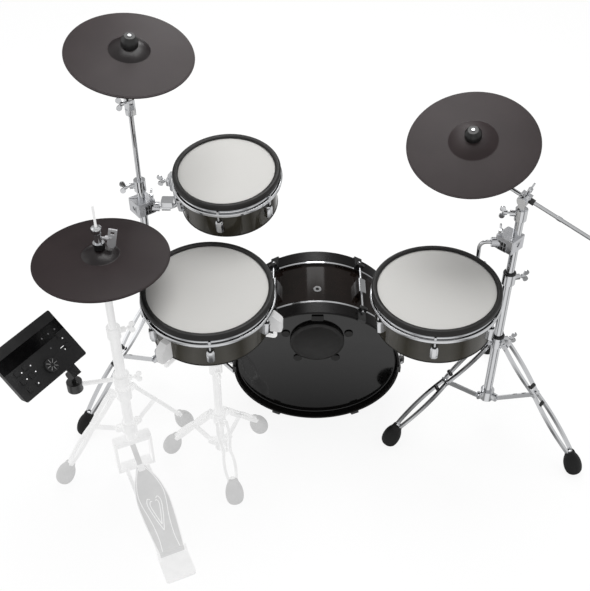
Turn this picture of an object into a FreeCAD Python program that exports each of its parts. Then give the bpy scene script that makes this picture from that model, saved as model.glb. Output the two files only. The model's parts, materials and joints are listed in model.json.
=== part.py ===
import FreeCAD, Part
import math
import os
from types import SimpleNamespace

# An electronic drum kit: kick drum, snare and two toms with mesh heads, three cymbal pads,
# two folding cymbal stands that also carry the toms, a hi-hat stand with its pedal,
# a snare stand and a sound module.
# Lengths are millimetres. +Z is up, the player sits on the -Y side and +X is to the player's right.

# Clearances shared by all pieces
OVERRUN = 2.0
FIT = 0.3
SEAT = 0.05

# Where each group stands on the floor
LEFT_STAND_X = -416.0
LEFT_STAND_Y = 165.0
RIGHT_STAND_X = 572.0
RIGHT_STAND_Y = 0.0
HIHAT_X = -463.0
HIHAT_Y = -177.0
SNARE_STAND_X = -212.0
SNARE_STAND_Y = -160.0
KICK_X = 62.0
KICK_BATTER_Y = -23.0

# Centres of the playing surfaces, and how far each leans to the player and to the right, in degrees
SNARE_X = -214.8
SNARE_Y = -177.4
SNARE_Z = 664.1
SNARE_FRONT_LEAN_ANGLE = 6.1
SNARE_RIGHT_LEAN_ANGLE = 0.2
LEFT_TOM_X = -176.2
LEFT_TOM_Y = 103.7
LEFT_TOM_Z = 825.4
LEFT_TOM_FRONT_LEAN_ANGLE = 10.0
LEFT_TOM_RIGHT_LEAN_ANGLE = -1.6
RIGHT_TOM_X = 358.7
RIGHT_TOM_Y = -120.9
RIGHT_TOM_Z = 617.3
RIGHT_TOM_FRONT_LEAN_ANGLE = 2.9
RIGHT_TOM_RIGHT_LEAN_ANGLE = -1.8
RIDE_X = 439.8
RIDE_Y = 63.5
RIDE_Z = 928.3
RIDE_FRONT_LEAN_ANGLE = 21.1
RIDE_RIGHT_LEAN_ANGLE = -10.1
CRASH_FRONT_LEAN_ANGLE = 13.1
CRASH_RIGHT_LEAN_ANGLE = 8.5
KICK_LEAN_ANGLE = 6.0

# Mesh head pads: radius of the playing surface and depth from it to the lower edge
SNARE_RADIUS = 150.0
LEFT_TOM_RADIUS = 125.0
RIGHT_TOM_RADIUS = 150.0
PAD_DEPTH = 110.0
SHELL_OVERHANG = 2.0
SHELL_WALL = 6.0
SHELL_BEVEL = 3.0
FILM = 1.0
FLESH_WIDTH = 3.5
FLESH_TOP = 6.0
FLESH_HEIGHT = 6.0
HOOP_SHEET = 2.3
HOOP_RISE = 2.0
HOOP_DEPTH = 30.0
HOOP_LIP = 2.0
FLANGE_WIDTH = 8.0
FLANGE_HEIGHT = 5.0
COVER_WIDTH = 15.0
COVER_RISE = 7.0
COVER_SKIRT = 12.0
COVER_SHOULDER = 4.0
EDGE_RING_HEIGHT = 3.0

# Tension lugs with their rods
LUG_COUNT = 6
SNARE_LUG_ANGLE = -85.0
LEFT_TOM_LUG_ANGLE = -97.0
RIGHT_TOM_LUG_ANGLE = -97.0
LUG_WIDTH = 20.0
LUG_REACH = 17.0
LUG_TOP = 48.0
LUG_HEIGHT = 42.0
LUG_ROUND = 3.0
TENSION_RADIUS = 3.0
TENSION_GRIP = 12.0
TENSION_HEAD_RADIUS = 4.0
TENSION_HEAD_HEIGHT = 10.0

# Sensor carrier inside each pad, and its jack socket in the shell
SENSOR_DROP = 60.0
SENSOR_BAR_WIDTH = 30.0
SENSOR_SHEET = 3.0
SENSOR_TAB = 20.0
SENSOR_BASE_RADIUS = 24.0
SENSOR_BASE_HEIGHT = 7.0
SENSOR_CONE_RADIUS = 18.0
SENSOR_TIP_RADIUS = 7.0
JACK_DROP = 78.0
JACK_BORE_RADIUS = 3.2
JACK_BARREL_RADIUS = 5.5
JACK_BARREL_DEPTH = 14.0
JACK_FLANGE_RADIUS = 9.0
JACK_FLANGE_HEIGHT = 4.0
SNARE_JACK_ANGLE = 65.0
LEFT_TOM_JACK_ANGLE = 53.0
RIGHT_TOM_JACK_ANGLE = 113.0

# Tom brackets and the bent rods that they hang on
TOM_ROD_RADIUS = 5.25
TOM_ROD_BEND = 18.0
BRACKET_REACH = 25.0
BRACKET_TOP = 34.0
BRACKET_HEIGHT = 64.0
BRACKET_WIDTH = 44.0
BRACKET_SHEET = 5.0
BARREL_RADIUS = 12.0
BARREL_INSET = 8.0
BRACKET_WEB = 16.0
BRACKET_BOSS = 18.0
LEFT_BRACKET_ANGLE = 168.0
RIGHT_BRACKET_ANGLE = 46.0
LEFT_ROD_TOP = 32.0
RIGHT_ROD_END = 104.0

# Wing bolts
WING_STEM_RADIUS = 3.0
WING_STEM = 6.0
WING_HUB_RADIUS = 6.0
WING_HUB = 9.0
WING_SPAN = 18.0
WING_HEIGHT = 20.0
WING_SHEET = 4.0
WING_LOBE_RADIUS = 7.5

# Kick drum, measured along its own axis from the front end
KICK_DEPTH = 240.0
KICK_HOOP_RADIUS = 238.0
KICK_HOOP_WALL = 6.5
KICK_HOOP_GAP = 3.0
KICK_SHELL_RADIUS = KICK_HOOP_RADIUS - KICK_HOOP_WALL - KICK_HOOP_GAP
KICK_SHELL_WALL = 7.0
KICK_HOOP_DEPTH = 40.0
KICK_HOOP_CHAMFER = 1.5
KICK_HEAD_INSET = 19.0
KICK_COLLAR = 18.0
KICK_RING_HEIGHT = 6.0
KICK_LUG_COUNT = 6
KICK_LUG_WIDTH = 22.0
KICK_LUG_LENGTH = 52.0
KICK_ROD_OUT = 8.0
KICK_LUG_MARGIN = 8.0
KICK_CLAW_WIDTH = 24.0
KICK_CLAW_SHEET = 3.0
KICK_CLAW_EAR = 9.0
VENT_RADIUS = 6.0
VENT_FLANGE_RADIUS = 11.0
VENT_FROM_BATTER = 97.0

# Beater pad on the batter head, its five rubber feet, and the sensor behind it
IMPACT_RISE = 104.0
IMPACT_RADIUS = 76.0
IMPACT_INNER_RADIUS = 65.0
IMPACT_HEIGHT = 20.0
IMPACT_DISH = 5.0
IMPACT_ROUND = 5.0
BOSS_COUNT = 5
BOSS_CIRCLE = 92.0
BOSS_RADIUS = 12.0
BOSS_HEIGHT = 7.0
BOSS_BAR_WIDTH = 33.0
BOSS_BAR_HEIGHT = 20.0
KICK_SENSOR_BAR = 60.0
KICK_SENSOR_SHEET = 4.0
KICK_SENSOR_GAP = 46.0
KICK_SENSOR_RADIUS = 55.0

# Spurs that lift the front of the kick drum
SPUR_ANGLE = 50.0
SPUR_FROM_FRONT = 70.0
SPUR_RADIUS = 5.0
SPUR_OUT = 45.0
SPUR_PIVOT_OUT = 20.0
SPUR_EYE_RADIUS = 12.0
SPUR_EYE_WIDTH = 10.0
SPUR_EAR_SHEET = 5.0
SPUR_PIN_RADIUS = 4.0
SPUR_TIP_RADIUS = 13.0
SPUR_TIP_NECK = 8.0
SPUR_TIP_HEIGHT = 26.0

# Cymbal pads
CRASH_RADIUS = 156.0
RIDE_RADIUS = 165.0
HIHAT_RADIUS = 165.0
CRASH_BELL_RADIUS = 50.0
RIDE_BELL_RADIUS = 61.0
HIHAT_BELL_RADIUS = 46.0
CYMBAL_SHEET = 5.0
CYMBAL_EDGE = 2.5
CYMBAL_LIP = 1.5
BELL_TOP = 30.0
BELL_FOOT = 13.0
DOME_RADIUS = 25.0
DOME_ANGLE = 46.0
CYMBAL_HOLE = 8.0
POD_RADIUS = 28.0
POD_HEIGHT = 16.0
POD_OUT = 84.0

# Cymbal tilters: spindle, seat under the pad and nut on top
STEM_RADIUS = 4.0
SLEEVE_RADIUS = 6.5
SEAT_ANGLE = 36.0
SEAT_RADIUS = 15.0
SEAT_SHOULDER = 9.0
SEAT_BOTTOM = -6.0
NUT_RADIUS = 21.0
NUT_FLARE = 5.0
NUT_HEIGHT = 12.0
NUT_DOME_RADIUS = 13.0
NUT_DOME_HEIGHT = 7.0
STEM_TIP = 2.0
CRASH_SPINDLE = 148.0
RIDE_SPINDLE = 86.0
TONGUE_RADIUS = 11.0
TONGUE_WIDTH = 10.0
FORK_SHEET = 5.0
FORK_DROP = 20.0
FORK_BASE = 16.0
FORK_RADIUS = 13.0
TILT_PIN_RADIUS = 4.0

# Folding cymbal stands
BASE_TUBE_RADIUS = 12.7
MAST_RADIUS = 11.1
MAST_WALL = 1.6
ARM_RADIUS = 6.35
HUB_Z = 113.0
HUB_RADIUS = 20.0
HUB_HEIGHT = 34.0
HUB_PIVOT = 30.0
COLLAR_Z = 328.0
COLLAR_RADIUS = 20.0
COLLAR_HEIGHT = 36.0
COLLAR_PIVOT = 32.0
BASE_TOP_Z = 554.0
MAST_INSERT = 150.0
SOCKET_RADIUS = 18.0
SOCKET_HEIGHT = 34.0
BOSS_REACH = 12.0
BOLT_BOSS_RADIUS = 8.0
LEFT_LEG_ANGLE = -134.0
RIGHT_LEG_ANGLE = -41.7
LEG_COUNT = 3
FOOT_CIRCLE = 317.0
LEFT_BOLT_ANGLE = -74.0
LEFT_TOP_BOLT_ANGLE = -164.0
RIGHT_TOP_BOLT_ANGLE = 169.0
RIGHT_BOLT_ANGLE = 12.0
LEFT_MAST_TOP_Z = 725.0
RIGHT_MAST_TOP_Z = 745.0
TOP_COLLAR_RADIUS = 16.0
TOP_COLLAR_HEIGHT = 33.0
LEFT_CLAMP_Z = 672.0
RIGHT_CLAMP_Z = 672.0
ARM_INSERT = 125.0
CRASH_PIVOT_Z = 990.0

# Legs of two bowed bars with a waist where the brace meets them, and a rubber foot
LEG_BAR_WIDTH = 8.0
LEG_BAR_DEPTH = 10.0
LEG_SPREAD = 11.0
LEG_BOW = 15.0
LEG_WAIST = 7.5
LEG_TOE = 6.0
LEG_EYE = 8.0
LEG_WAIST_SHARE = 0.45
LEG_PIN_RADIUS = 3.0
RIVET_RADIUS = 5.5
RIVET_HEIGHT = 2.5
FOOT_SET = 32.0
FOOT_HEIGHT = 66.0
FOOT_GRIP = 12.0
FOOT_TOP_RADIUS = 15.0
FOOT_RADIUS = 23.0
BRACE_SHEET = 6.0
BRACE_HALF_WIDTH = 6.5
EAR_SHEET = 5.0
EAR_HALF_WIDTH = 8.0

# Clamp blocks on the masts
CLAMP_HALF_SIDE = 27.0
CLAMP_HALF_HEIGHT = 19.5
CLAMP_RISE = 5.0
CLAMP_ROUND = 4.0
CLAMP_SPLIT = 3.0
CLAMP_SLEEVE_RADIUS = 13.0
CLAMP_REACH = 47.0
CLAMP_SCREW_RADIUS = 5.0
CLAMP_SCREW_DEPTH = 5.0
LEFT_CLAMP_ANGLE = 38.0
RIGHT_CLAMP_ANGLE = 44.0
RIGHT_CLAMP_SHIFT = 16.0
ROD_SOCKET_START = 17.0
ROD_PLATE_START = 53.0
ROD_PLATE_LENGTH = 34.0
ROD_PLATE_HALF_WIDTH = 17.0
ROD_PLATE_SHEET = 12.0
ROD_COLLAR_LENGTH = 24.0
ROD_COLLAR_RADIUS = 11.0

# Boom of the right stand
BOOM_CLAMP_Z = 805.5
POST_RADIUS = 9.5
POST_INSERT = 110.0
POST_TOP_GAP = 25.0
RATCHET_RADIUS = 15.0
RATCHET_SHEET = 6.0
RATCHET_BOLT_RADIUS = 4.0
KNOB_RADIUS = 11.5
KNOB_HEIGHT = 7.0
BOOM_RADIUS = 5.0
BOOM_OFFSET = 11.0
BOOM_BLOCK_HALF_LENGTH = 14.0
BOOM_BLOCK_HALF_HEIGHT = 12.0
BOOM_BLOCK_SIDE = 9.0
BOOM_FERRULE = 12.0
BOOM_FERRULE_RADIUS = 8.0
BOOM_TAIL = 260.0
BOOM_BAND_PLACE = 92.0
BOOM_BAND = 14.0
BOOM_BAND_RADIUS = 6.0
BOOM_HUB_HALF_LENGTH = 15.0
BOOM_HUB_RADIUS = 13.0
BOOM_STOP = 9.0
BOOM_STOP_RADIUS = 12.0

# Hi-hat stand, pad and pedal
HIHAT_Z = 758.5
HIHAT_PEDAL_ANGLE = -66.0
HIHAT_LEG_ANGLES = (-163.0, 49.0)
HIHAT_FOOT_CIRCLE = 213.0
HIHAT_COLLAR_Z = 300.0
HIHAT_HUB_Z = 165.0
HIHAT_TUBE_RADIUS = 14.0
HIHAT_UPPER_RADIUS = 10.0
HIHAT_JOINT_Z = 520.0
HIHAT_CUP_Z = 690.0
HIHAT_CUP_RADIUS = 28.0
HIHAT_CUP_HEIGHT = 24.0
HIHAT_ROD_RADIUS = 3.0
HIHAT_ROD_TOP_Z = 908.0
CLUTCH_RADIUS = 9.5
CLUTCH_HEIGHT = 26.0
CLUTCH_CAP_RADIUS = 12.5
CLUTCH_CAP_HEIGHT = 20.0
CLUTCH_CAP_CHAMFER = 4.0
CLUTCH_NUT_RADIUS = 14.0
CLUTCH_NUT_HEIGHT = 16.0
LOCK_NEAR = 23.0
LOCK_WIDTH = 21.0
LOCK_HALF_HEIGHT = 27.0
LOCK_SHEET = 4.0
LOCK_CUT = 9.0
LOCK_WINDOW = 9.0
LOCK_WINDOW_Z = 16.0
LOCK_LEAN_ANGLE = 12.0
YOKE_HALF_WIDTH = 54.0
YOKE_SHEET = 7.0
YOKE_HALF_LENGTH = 16.0
YOKE_TOP_Z = 118.0
YOKE_BRIDGE = 14.0
YOKE_BASE = 8.0
HEEL_PLACE = 330.0
HEEL_LENGTH = 88.0
HEEL_HALF_WIDTH = 40.0
HEEL_HEIGHT = 8.0
HEEL_PIVOT_Z = 17.0
HEEL_PIN_RADIUS = 4.0
HEEL_EAR_RADIUS = 8.0
RAIL_PLACE = 30.0
RAIL_WIDTH = 10.0
RAIL_HEIGHT = 5.0
BOARD_TOE_Z = 84.0
BOARD_TOE_PLACE = -8.0
BOARD_SHEET = 9.0
BOARD_TOE_HALF_WIDTH = 21.0
BOARD_HEEL_HALF_WIDTH = 33.0
BOARD_BELLY_HALF_WIDTH = 39.0
BOARD_BELLY_SHARE = 0.55
BOARD_PIN_GAP = 14.0
STRAP_HALF_WIDTH = 11.0
STRAP_SHEET = 4.0

# Snare stand and its basket
SNARE_LEG_ANGLE = -73.3
SNARE_FOOT_CIRCLE = 168.0
SNARE_COLLAR_Z = 185.0
SNARE_HUB_Z = 78.0
SNARE_TUBE_RADIUS = 11.0
SNARE_TUBE_TOP_Z = 380.0
SNARE_POST_RADIUS = 9.0
SNARE_POST_INSERT = 120.0
BASKET_ANGLES = (-127.0, -12.0, 118.0)
BASKET_ROD_RADIUS = 5.0
BASKET_DROP = 14.0
BASKET_HUB_RADIUS = 22.0
BASKET_HUB_HEIGHT = 30.0
GRIP_HALF_WIDTH = 15.0
GRIP_SHEET = 30.0
GRIP_LIP = 11.0
GRIP_HEIGHT = 68.0
GRIP_TOE = 16.0
GRIP_SOLE = 9.0
GRIP_ROUND = 7.0
GRIP_SHOULDER_SHARE = 0.62

# Sound module on its arm
MODULE_X = -646.0
MODULE_Y = -242.0
MODULE_Z = 499.0
MODULE_ANGLE = 57.2
MODULE_SLOPE_ANGLE = 39.7
MODULE_ROLL_ANGLE = -2.7
MODULE_WIDTH = 207.0
MODULE_LENGTH = 149.0
MODULE_HEIGHT = 46.0
MODULE_CORNER = 5.0
MODULE_DRAFT = 12.0
SCREEN_WIDTH = 162.0
SCREEN_LENGTH = 34.0
SCREEN_PLACE_X = -4.0
SCREEN_PLACE_Y = 30.0
SCREEN_RECESS = 1.5
DIAL_RADIUS = 18.0
DIAL_HEIGHT = 12.0
DIAL_STEM_RADIUS = 4.0
DIAL_STEM = 14.0
DIAL_X = 7.0
DIAL_Y = -41.0
KEY_SIZE = 12.0
KEY_HEIGHT = 6.0
KEY_RISE = 2.5
KEY_POCKET = 7.0
KEY_FIRST_X = -75.0
KEY_PITCH_X = 27.0
KEY_COLUMNS = 2
KEY_FIRST_Y = -4.0
KEY_PITCH_Y = -25.0
KEY_ROWS = 3
SIDE_KEY_X = 78.0
SIDE_KEY_FIRST_Y = 8.0
SIDE_KEY_PITCH = -34.0
SIDE_KEY_COUNT = 2
MODULE_JACK_COUNT = 6
MODULE_JACK_PITCH = 26.0
MODULE_JACK_DEPTH = 20.0
MODULE_JACK_DROP = 24.0
MOUNT_CLAMP_Z = 352.0
MOUNT_RING_RADIUS = 22.0
MOUNT_RING_HEIGHT = 32.0
MOUNT_ROD_RADIUS = 6.0
MOUNT_HOUSING_RADIUS = 21.0
MOUNT_HOUSING_LOW = 16.0
MOUNT_HOUSING_HIGH = 12.0
MOUNT_PLACE_X = 66.0
MOUNT_PLATE_INSET = 40.0
MOUNT_PLATE_REACH = 16.0
MOUNT_PIVOT_DROP = 20.0
MOUNT_EYE_RADIUS = 12.0
MOUNT_EYE_WIDTH = 14.0
MOUNT_POST_RADIUS = 6.0
MOUNT_EAR_SHEET = 6.0
MOUNT_PIN_RADIUS = 4.0

ORIGIN = FreeCAD.Vector(0, 0, 0)
RIGHT = FreeCAD.Vector(1, 0, 0)
AWAY = FreeCAD.Vector(0, 1, 0)
UP = FreeCAD.Vector(0, 0, 1)
FULL_TURN = 360.0


# General forms

def vec(x, y, z):
    return FreeCAD.Vector(x, y, z)


def cylinder(radius, low, high):
    return Part.makeCylinder(radius, high - low, vec(0, 0, low))


def tube(outer, inner, low, high):
    return cylinder(outer, low, high).cut(cylinder(inner, low - OVERRUN, high + OVERRUN))


def rod(start, end, radius):
    run = end - start
    return Part.makeCylinder(radius, run.Length, start, run)


def block(x_low, x_high, y_low, y_high, z_low, z_high):
    return Part.makeBox(x_high - x_low, y_high - y_low, z_high - z_low, vec(x_low, y_low, z_low))


def line(start, end):
    return Part.LineSegment(start, end).toShape()


def arc(start, middle, end):
    return Part.Arc(start, middle, end).toShape()


def polygon(points):
    return Part.makePolygon(points + points[:1])


def turned(outline):
    """A solid of revolution about Z from an outline of (radius, height) points."""
    face = Part.Face(polygon([vec(radius, 0, height) for radius, height in outline]))
    return face.revolve(ORIGIN, UP, FULL_TURN)


def rounded_rectangle(x_low, x_high, y_low, y_high, radius, z=0):
    corners = [(x_high, y_low, -1, 1), (x_high, y_high, -1, -1), (x_low, y_high, 1, -1),
               (x_low, y_low, 1, 1)]
    nip = radius * (1 - math.sqrt(1 / 2))
    edges = []
    ends = []
    for index, (x, y, to_x, to_y) in enumerate(corners):
        along_x = vec(x + to_x * radius, y, z)
        along_y = vec(x, y + to_y * radius, z)
        first, last = (along_x, along_y) if index % 2 == 0 else (along_y, along_x)
        ends.append((first, last))
        edges.append(arc(first, vec(x + to_x * nip, y + to_y * nip, z), last))
    for index, (first, last) in enumerate(ends):
        edges.append(line(last, ends[(index + 1) % len(ends)][0]))
    return Part.Wire(Part.__sortEdges__(edges))


def rounded_block(x_low, x_high, y_low, y_high, z_low, z_high, radius):
    wire = rounded_rectangle(x_low, x_high, y_low, y_high, radius, z_low)
    return Part.Face(wire).extrude(vec(0, 0, z_high - z_low))


def bent_rod(start, corner, end, radius, bend):
    """A round rod from start to end with one bend of the given radius at the corner."""
    back = (start - corner).normalize()
    ahead = (end - corner).normalize()
    half = back.getAngle(ahead) / 2
    first = corner + back * (bend / math.tan(half))
    last = corner + ahead * (bend / math.tan(half))
    inward = (back + ahead).normalize()
    middle = corner + inward * (bend / math.sin(half) - bend)
    path = Part.Wire([line(start, first), arc(first, middle, last), line(last, end)])
    section = Part.Wire(Part.makeCircle(radius, start, corner - start))
    return path.makePipeShell([section], True, True)


def fused(first, *others):
    return first.fuse(list(others)).removeSplitter()


def turn(shape, angle):
    copy = shape.copy()
    copy.rotate(ORIGIN, UP, angle)
    return copy


def radial(radius, start, end, angle, z):
    return turn(Part.makeCylinder(radius, end - start, vec(start, 0, z), RIGHT), angle)


def seat(origin, up, along):
    """A placement whose Z points up and whose X lies as near as it can to along."""
    side = up.cross(along).normalize()
    return FreeCAD.Placement(origin, FreeCAD.Rotation(side.cross(up), side, up, "ZXY"))


def placed(solids, placement):
    moved = []
    for solid in solids:
        copy = solid.copy()
        copy.Placement = placement.multiply(copy.Placement)
        moved.append(copy)
    return moved


def standing_at(solids, x, y):
    return placed(solids, FreeCAD.Placement(vec(x, y, 0), FreeCAD.Rotation()))


def leaning(front, right):
    """The upward normal of a disc that leans to the player and to the right by these angles."""
    return vec(math.tan(math.radians(right)), -math.tan(math.radians(front)), 1).normalize()


def around(radius, angle, z=0):
    return vec(radius * math.cos(math.radians(angle)), radius * math.sin(math.radians(angle)), z)


def wing_bolt():
    """A wing bolt whose shoulder sits on z = 0 and whose two round wings stand up along Z."""
    root = vec(0, -WING_SHEET / 2, WING_STEM + WING_HUB / 2)
    lobe_x = WING_SPAN - WING_LOBE_RADIUS
    lobe_z = WING_STEM + WING_HEIGHT - WING_LOBE_RADIUS
    stem = cylinder(WING_STEM_RADIUS, 0, WING_STEM + WING_SHEET)
    shapes = [cylinder(WING_HUB_RADIUS, WING_STEM, WING_STEM + WING_HUB)]
    for side in (-1, 1):
        lobe = vec(side * lobe_x, -WING_SHEET / 2, lobe_z)
        across = (lobe - root).normalize().cross(AWAY)
        web = [root + across * WING_STEM_RADIUS, lobe + across * WING_LOBE_RADIUS,
               lobe - across * WING_LOBE_RADIUS, root - across * WING_STEM_RADIUS]
        shapes.append(Part.Face(polygon(web)).extrude(AWAY * WING_SHEET))
        shapes.append(Part.makeCylinder(WING_LOBE_RADIUS, WING_SHEET, lobe, AWAY))
    return fused(stem, *shapes)


def bolt_at(origin, direction, wing_direction):
    return placed([wing_bolt()], seat(origin, direction, wing_direction))


# Mesh head pads, in a frame with the playing surface on z = 0

def pad_radii(head):
    at = SimpleNamespace(head=head, shell=head + SHELL_OVERHANG)
    at.film = at.shell + FIT + FILM
    at.flesh = at.film + FLESH_WIDTH
    at.hoop_in = at.flesh + FIT
    at.hoop_out = at.hoop_in + HOOP_SHEET
    at.flange = at.hoop_out + FLANGE_WIDTH
    at.rod = at.hoop_out + TENSION_HEAD_RADIUS + FIT
    at.cover = head + COVER_WIDTH
    at.bracket = at.shell + BRACKET_REACH
    return at


def pad_shell(at, jack_turn):
    inside = at.shell - SHELL_WALL
    outline = [(inside, -PAD_DEPTH), (at.shell, -PAD_DEPTH), (at.shell, -FILM - SHELL_BEVEL),
               (at.shell - SHELL_BEVEL, -FILM), (inside, -FILM)]
    hole = radial(JACK_BARREL_RADIUS + FIT, inside - OVERRUN, at.shell + OVERRUN, jack_turn, -JACK_DROP)
    return [turned(outline).cut(hole)]


def pad_head(at):
    skirt = at.film - FILM
    low = -FLESH_TOP - FLESH_HEIGHT
    return [turned([(0, -FILM), (skirt, -FILM), (skirt, low), (at.flesh, low), (at.flesh, -FLESH_TOP),
                    (at.film, -FLESH_TOP), (at.film, 0), (0, 0)])]


def pad_cover(at):
    """The rubber cover on the hoop, and the edging under the shell."""
    rest = HOOP_RISE + FIT
    inner = at.hoop_out + FIT
    cover = turned([(at.head, rest), (inner, rest), (inner, -COVER_SKIRT), (at.cover, -COVER_SKIRT),
                    (at.cover, COVER_RISE - COVER_SHOULDER - FIT), (at.cover - COVER_SHOULDER, COVER_RISE),
                    (at.head + COVER_SHOULDER, COVER_RISE)])
    edging = tube(at.shell + SHELL_OVERHANG / 2, at.shell - SHELL_WALL, -PAD_DEPTH - EDGE_RING_HEIGHT,
                  -PAD_DEPTH)
    return [cover, edging]


def tension_lug(at):
    low = -LUG_TOP - LUG_HEIGHT
    body = rounded_block(at.shell - SHELL_WALL / 2, at.shell + LUG_REACH, -LUG_WIDTH / 2, LUG_WIDTH / 2,
                         low, -LUG_TOP, LUG_ROUND)
    body = body.cut(cylinder(at.shell, low - OVERRUN, -LUG_TOP + OVERRUN))
    seat_z = FLANGE_HEIGHT - HOOP_DEPTH
    stem = cylinder(TENSION_RADIUS, -LUG_TOP - TENSION_GRIP, seat_z)
    head = cylinder(TENSION_HEAD_RADIUS, seat_z, seat_z + TENSION_HEAD_HEIGHT)
    screw = fused(stem, head)
    screw.translate(vec(at.rod, 0, 0))
    return fused(body, screw)


def lug_angles(first):
    return [first + FULL_TURN * index / LUG_COUNT for index in range(LUG_COUNT)]


def pad_hardware(at, first_lug):
    lip = at.film + FIT
    hoop = turned([(lip, -FLESH_TOP), (at.hoop_in, -FLESH_TOP), (at.hoop_in, -HOOP_DEPTH),
                   (at.flange, -HOOP_DEPTH), (at.flange, FLANGE_HEIGHT - HOOP_DEPTH),
                   (at.hoop_out, FLANGE_HEIGHT - HOOP_DEPTH), (at.hoop_out, HOOP_RISE),
                   (at.hoop_in, HOOP_RISE),
                   (at.hoop_in, HOOP_LIP - FLESH_TOP), (lip, HOOP_LIP - FLESH_TOP)])
    hole = cylinder(TENSION_RADIUS + FIT, -HOOP_DEPTH - OVERRUN, FLANGE_HEIGHT + OVERRUN - HOOP_DEPTH)
    hole.translate(vec(at.rod, 0, 0))
    lug = tension_lug(at)
    hoop = hoop.cut([turn(hole, angle) for angle in lug_angles(first_lug)])
    return [hoop] + [turn(lug, angle) for angle in lug_angles(first_lug)]


def pad_trigger(at, jack_turn):
    """Sensor bar across the shell, the cone that touches the head, and the jack in the shell wall."""
    inside = at.shell - SHELL_WALL
    half = SENSOR_BAR_WIDTH / 2
    top = -SENSOR_DROP + SENSOR_SHEET
    bar = block(-at.shell, at.shell, -half, half, -SENSOR_DROP, top)
    tabs = [block(side * inside - SENSOR_SHEET * (side + 1), side * inside + SENSOR_SHEET * (1 - side),
                  -half, half, -SENSOR_DROP - SENSOR_TAB, top) for side in (-1, 1)]
    bar = fused(bar, *tabs).common(cylinder(inside, -PAD_DEPTH, 0))
    base = top + SENSOR_BASE_HEIGHT
    cone = turned([(0, top), (SENSOR_BASE_RADIUS, top), (SENSOR_BASE_RADIUS, base),
                   (SENSOR_CONE_RADIUS, base),
                   (SENSOR_TIP_RADIUS, -FILM), (0, -FILM)])
    flange = radial(JACK_FLANGE_RADIUS, at.shell - SHELL_WALL / 2, at.shell + JACK_FLANGE_HEIGHT,
                    jack_turn, -JACK_DROP)
    flange = flange.cut(cylinder(at.shell, -PAD_DEPTH, 0))
    barrel = radial(JACK_BARREL_RADIUS, inside - JACK_BARREL_DEPTH, at.shell + JACK_FLANGE_HEIGHT,
                    jack_turn, -JACK_DROP)
    bore = radial(JACK_BORE_RADIUS, inside - JACK_BARREL_DEPTH / 2, at.shell + JACK_FLANGE_HEIGHT + OVERRUN,
                  jack_turn, -JACK_DROP)
    return [turn(bar, jack_turn + FULL_TURN / 4), cone, fused(flange, barrel).cut(bore)]


def tom_bracket(at, bracket_turn):
    """Plate on the shell with the barrel that the tom's rod passes through, and its wing bolt."""
    low = -BRACKET_TOP - BRACKET_HEIGHT
    top = -BRACKET_TOP
    plate = rounded_block(at.shell - SHELL_WALL / 2, at.shell + BRACKET_SHEET, -BRACKET_WIDTH / 2,
                          BRACKET_WIDTH / 2,
                          low, top, SHELL_WALL / 4)
    web = block(at.shell, at.bracket, -BRACKET_WEB / 2, BRACKET_WEB / 2, low + BARREL_INSET,
                top - BARREL_INSET)
    barrel = cylinder(BARREL_RADIUS, low + BARREL_INSET, top - BARREL_INSET)
    barrel.translate(vec(at.bracket, 0, 0))
    middle = (low + top) / 2
    half = BRACKET_BOSS / 2
    boss = block(at.bracket, at.bracket + BRACKET_BOSS, -half, half, middle - half, middle + half)
    bore = cylinder(TOM_ROD_RADIUS + FIT, low - OVERRUN, top + OVERRUN)
    bore.translate(vec(at.bracket, 0, 0))
    body = fused(plate, web, barrel, boss).cut([bore, cylinder(at.shell, low - OVERRUN, top + OVERRUN)])
    bolt = bolt_at(vec(at.bracket + BRACKET_BOSS, 0, middle), RIGHT, UP)
    return [turn(solid, bracket_turn) for solid in [body] + bolt]


def add_pad(name, frame, head, first_lug, jack_turn, bracket_turn=None):
    at = pad_radii(head)
    hardware = pad_hardware(at, first_lug)
    if bracket_turn is not None:
        hardware = hardware + tom_bracket(at, bracket_turn)
    keep(name + "_shell", placed(pad_shell(at, jack_turn), frame))
    keep(name + "_head", placed(pad_head(at), frame))
    keep(name + "_rim_cover", placed(pad_cover(at), frame))
    keep(name + "_hardware", placed(hardware, frame))
    keep(name + "_trigger", placed(pad_trigger(at, jack_turn), frame))


# Kick drum, in a frame with its axis on Z: front end on z = 0, batter end on top, Y up in the world

def kick_shell():
    low = KICK_HEAD_INSET + FILM
    body = tube(KICK_SHELL_RADIUS, KICK_SHELL_RADIUS - KICK_SHELL_WALL, low, KICK_DEPTH - low)
    vent = radial(VENT_RADIUS + FIT, KICK_SHELL_RADIUS - KICK_SHELL_WALL - OVERRUN,
                  KICK_SHELL_RADIUS + OVERRUN,
                  FULL_TURN / 4, KICK_DEPTH - VENT_FROM_BATTER)
    return [body.cut(vent)]


def kick_hoops():
    inside = KICK_HOOP_RADIUS - KICK_HOOP_WALL
    edge = KICK_HOOP_RADIUS - KICK_HOOP_CHAMFER
    hoop = turned([(inside, 0), (edge, 0), (KICK_HOOP_RADIUS, KICK_HOOP_CHAMFER),
                   (KICK_HOOP_RADIUS, KICK_HOOP_DEPTH - KICK_HOOP_CHAMFER), (edge, KICK_HOOP_DEPTH),
                   (inside, KICK_HOOP_DEPTH)])
    batter = hoop.copy()
    batter.translate(vec(0, 0, KICK_DEPTH - KICK_HOOP_DEPTH))
    return [hoop, batter]


def kick_heads():
    outer = KICK_HOOP_RADIUS - KICK_HOOP_WALL - FIT
    inner = KICK_SHELL_RADIUS + FIT
    low = KICK_HEAD_INSET
    front = turned([(0, low), (outer, low), (outer, low + KICK_COLLAR), (inner, low + KICK_COLLAR),
                    (inner, low + FILM), (0, low + FILM)])
    high = KICK_DEPTH - KICK_HEAD_INSET
    batter = turned([(0, high - FILM), (inner, high - FILM), (inner, high - KICK_COLLAR),
                     (outer, high - KICK_COLLAR), (outer, high), (0, high)])
    return [front, batter]


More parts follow.
